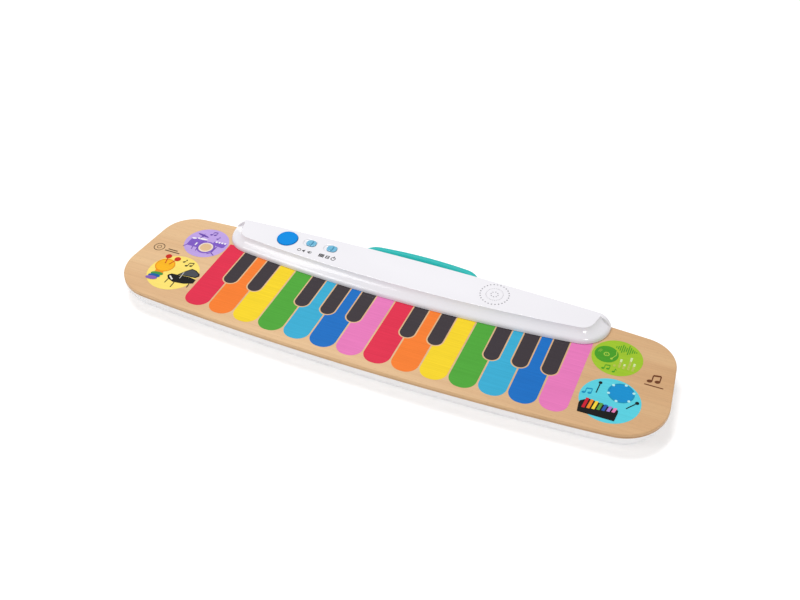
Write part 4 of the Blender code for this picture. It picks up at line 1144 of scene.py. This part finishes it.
def make_bars_badge():
    at = (211.3, -24.7)
    badge("cyan", at, 25.6, (92, 210, 226))
    teal = ink("sea_blue", 20, 146, 190)
    # A round hand drum hangs behind the bars
    drum = (6.6, 11.6)
    printed("tambour_skin", [circle(*drum, 10.9, 64)], 2, ink("azure", 0, 146, 208), at)
    printed("tambour_hoop", ring(*drum, 11.2, 9.9, 64), 3, teal, at)
    jingles = []
    for a in map(math.radians, range(20, 360, 60)):
        jingles.append(circle(drum[0] + 10.5 * math.cos(a), drum[1] + 10.5 * math.sin(a), 1.25, 20))
    printed("tambour_jingles", jingles, 4, ink("pale_cyan", 186, 238, 240), at)
    stand = [
        (-23.2, -12.4), (-22.0, -21.8), (8.6, -21.4), (9.4, -12.0), (9.0, -8.6), (-17.0, -4.6),
        (-22.8, -9.4),
    ]
    black = [stand, circle(-12.2, 17.0, 1.6, 20), circle(21.4, 5.4, 1.7, 20)]
    black += stroke(0.9, [(-12.2, 17.0), (-12.8, 4.4)], [(21.4, 5.4), (14.4, -4.0)])
    printed("bars_stand", black, 5, ink("jet", 22, 20, 22), at)
    printed("bars_notes", note_pair(-22.6, 1.2, 2.8), 2, teal, at)
    colours = (
        ("crimson", (206, 30, 50)),
        ("tangerine", (242, 140, 40)),
        ("gold", (248, 216, 60)),
        ("moss", (92, 158, 66)),
        ("cobalt", (40, 92, 180)),
        ("lilac", (170, 130, 214)),
        ("rose", (236, 130, 184)),
    )
    for i, (name, colour) in enumerate(colours):
        x = -18.4 + 4.0 * i
        top = -4.2 - 0.45 * i
        foot = top - 12.0 + 1.1 * i
        bar = [(x - 1.5, foot), (x + 1.1, foot), (x + 2.3, top), (x - 0.3, top)]
        printed(f"bar_{name}", [bar], 6, ink(f"bar_{name}", *colour), at)


def make_marks():
    """Plain marks in place of printed names: a ring with two lines, and a note over a line."""
    left = ring(-243.2, 6.4, 5.6, 4.8) + ring(-243.2, 6.4, 2.4, 1.8, 24)
    left += stroke(1.3, [(-233.4, 6.9), (-223.0, 6.9)], [(-235.4, 4.2), (-219.4, 4.2)])
    printed("mark_left", left, 1, ink("mark_dark", 92, 74, 52))
    right = note_pair(236.4, 10.2, 4.0, 1.6) + stroke(1.2, [(233.0, 5.4), (249.0, 5.4)])
    printed("mark_right", right, 1, ink("mark_brown", 112, 66, 40))


def speaker_icon(reach=0.0):
    """A loudspeaker sign, with a wave in front of it if it is the loud one."""
    shapes = [[(-1.6, -0.8), (-0.5, -0.8), (0.9, -2.1), (0.9, 2.1), (-0.5, 0.8), (-1.6, 0.8)]]
    if reach:
        angles = [math.radians(a) for a in range(-50, 51, 20)]
        shapes += stroke(0.6, [(0.2 + reach * math.cos(a), reach * math.sin(a)) for a in angles])
    return shapes


def make_icons():
    """Off, low and high volume, then keys, sheet and ring, each below its knob."""
    keys = [rounded_box((-2.75 + 1.4 * i, -2.1), (-1.6 + 1.4 * i, 2.1), 0.2, 2) for i in range(4)]
    keys += stroke(0.5, [(-2.75, 2.0), (2.7, 2.0)])
    sheet = stroke(0.7, [(-1.6, -2.0), (-1.6, 2.0)], [(1.5, -2.0), (1.5, 2.0)])
    sheet += stroke(0.8, *([(-1.3, y), (1.3, y)] for y in (-1.7, 0.0, 1.7)))
    signs = (
        (-108.5, ring(0, 0, 1.9, 1.25, 24)),
        (-103.6, speaker_icon()),
        (-98.2, speaker_icon(2.0)),
        (-85.0, keys),
        (-78.6, sheet),
        (-72.6, ring(0, -0.3, 2.4, 1.7, 24) + stroke(0.8, [(0, 0.4), (0, 3.2)])),
    )
    shapes = []
    for sign_x, sign in signs:
        shapes += [[(sign_x + x, y) for x, y in shape] for shape in sign]
    black = moulded("icon_black", rgb(30, 28, 34), 0.6)
    printed("control_icons", shapes, 1, black, (0.0, ICON_Y), CONSOLE, "white_plastic")


# The stage


# Keeps the floor clear of the feet, which stand at zero
FLOOR_GAP = 0.3


def make_stage():
    work = bmesh.new()
    bmesh.ops.create_grid(work, x_segments=1, y_segments=1, size=12.0)
    floor = mesh_object("floor", work, Matrix())
    floor.location.z = -FLOOR_GAP * MM
    floor.data.materials.append(floor_paper())

    world = bpy.data.worlds.new("studio")
    world.use_nodes = True
    background = world.node_tree.nodes["Background"]
    background.inputs["Color"].default_value = PURE_WHITE
    background.inputs["Strength"].default_value = 0.58
    bpy.context.scene.world = world
    bpy.context.scene.view_settings.view_transform = "Standard"

    lights = (
        ("softbox_top", (-0.7, 0.9, 2.3), (1.2, 0.8), 31.0),
        ("softbox_left", (-1.27, -1.2, 1.9), (0.8, 0.9), 9.0),
        ("softbox_right", (1.17, -1.17, 1.57), (0.34, 0.34), 7.0),
    )
    for name, place, size, power in lights:
        lamp = bpy.data.lights.new(name, "AREA")
        lamp.shape = "RECTANGLE"
        lamp.size, lamp.size_y = size
        lamp.energy = power
        obj = linked(name, lamp)
        obj.location = place
        obj.rotation_euler = (-Vector(place)).to_track_quat("-Z", "Y").to_euler()


CAMERA_AZIMUTH = 22.884
CAMERA_ELEVATION = 40.951
CAMERA_DISTANCE = 0.93692
CAMERA_TARGET = (3.28, 24.41, 0.0)
CAMERA_LENS = 46.07


def make_camera():
    azimuth, elevation = math.radians(CAMERA_AZIMUTH), math.radians(CAMERA_ELEVATION)
    level = math.cos(elevation)
    back = Vector((math.sin(azimuth) * level, -math.cos(azimuth) * level, math.sin(elevation)))
    data = bpy.data.cameras.new("camera")
    data.lens = CAMERA_LENS
    data.sensor_width = 36.0
    data.sensor_fit = "HORIZONTAL"
    camera = linked("camera", data)
    camera.location = PANEL @ Vector(CAMERA_TARGET) + back * CAMERA_DISTANCE
    camera.rotation_euler = back.to_track_quat("Z", "Y").to_euler()
    bpy.context.scene.camera = camera


def dress_frame():
    """Gives every CAD node that stays in view its material."""
    slots = {part["node"]: part["material_slot"] for part in frame["record"]["subparts"]}
    for node, obj in NODES.items():
        obj.data.materials.clear()
        obj.data.materials.append(MATERIALS[slots[node]])


make_camera()
make_stage()
dress_frame()
make_panel()
make_tray()
make_door()
make_console()
make_rim("console_rim_left", -1)
make_rim("console_rim_right", 1)
make_handle()
for node in FEET:
    make_foot(node)
for node in [*CASE_SCREWS, *HANDLE_SCREWS]:
    make_screw(node)
make_screw("battery_door_screw", head_radius=2.4, head_height=0.6, shank_radius=1.0)
make_button()
make_knobs()
make_keys()
make_drum_badge()
make_piano_badge()
make_record_badge()
make_bars_badge()
make_marks()
make_icons()
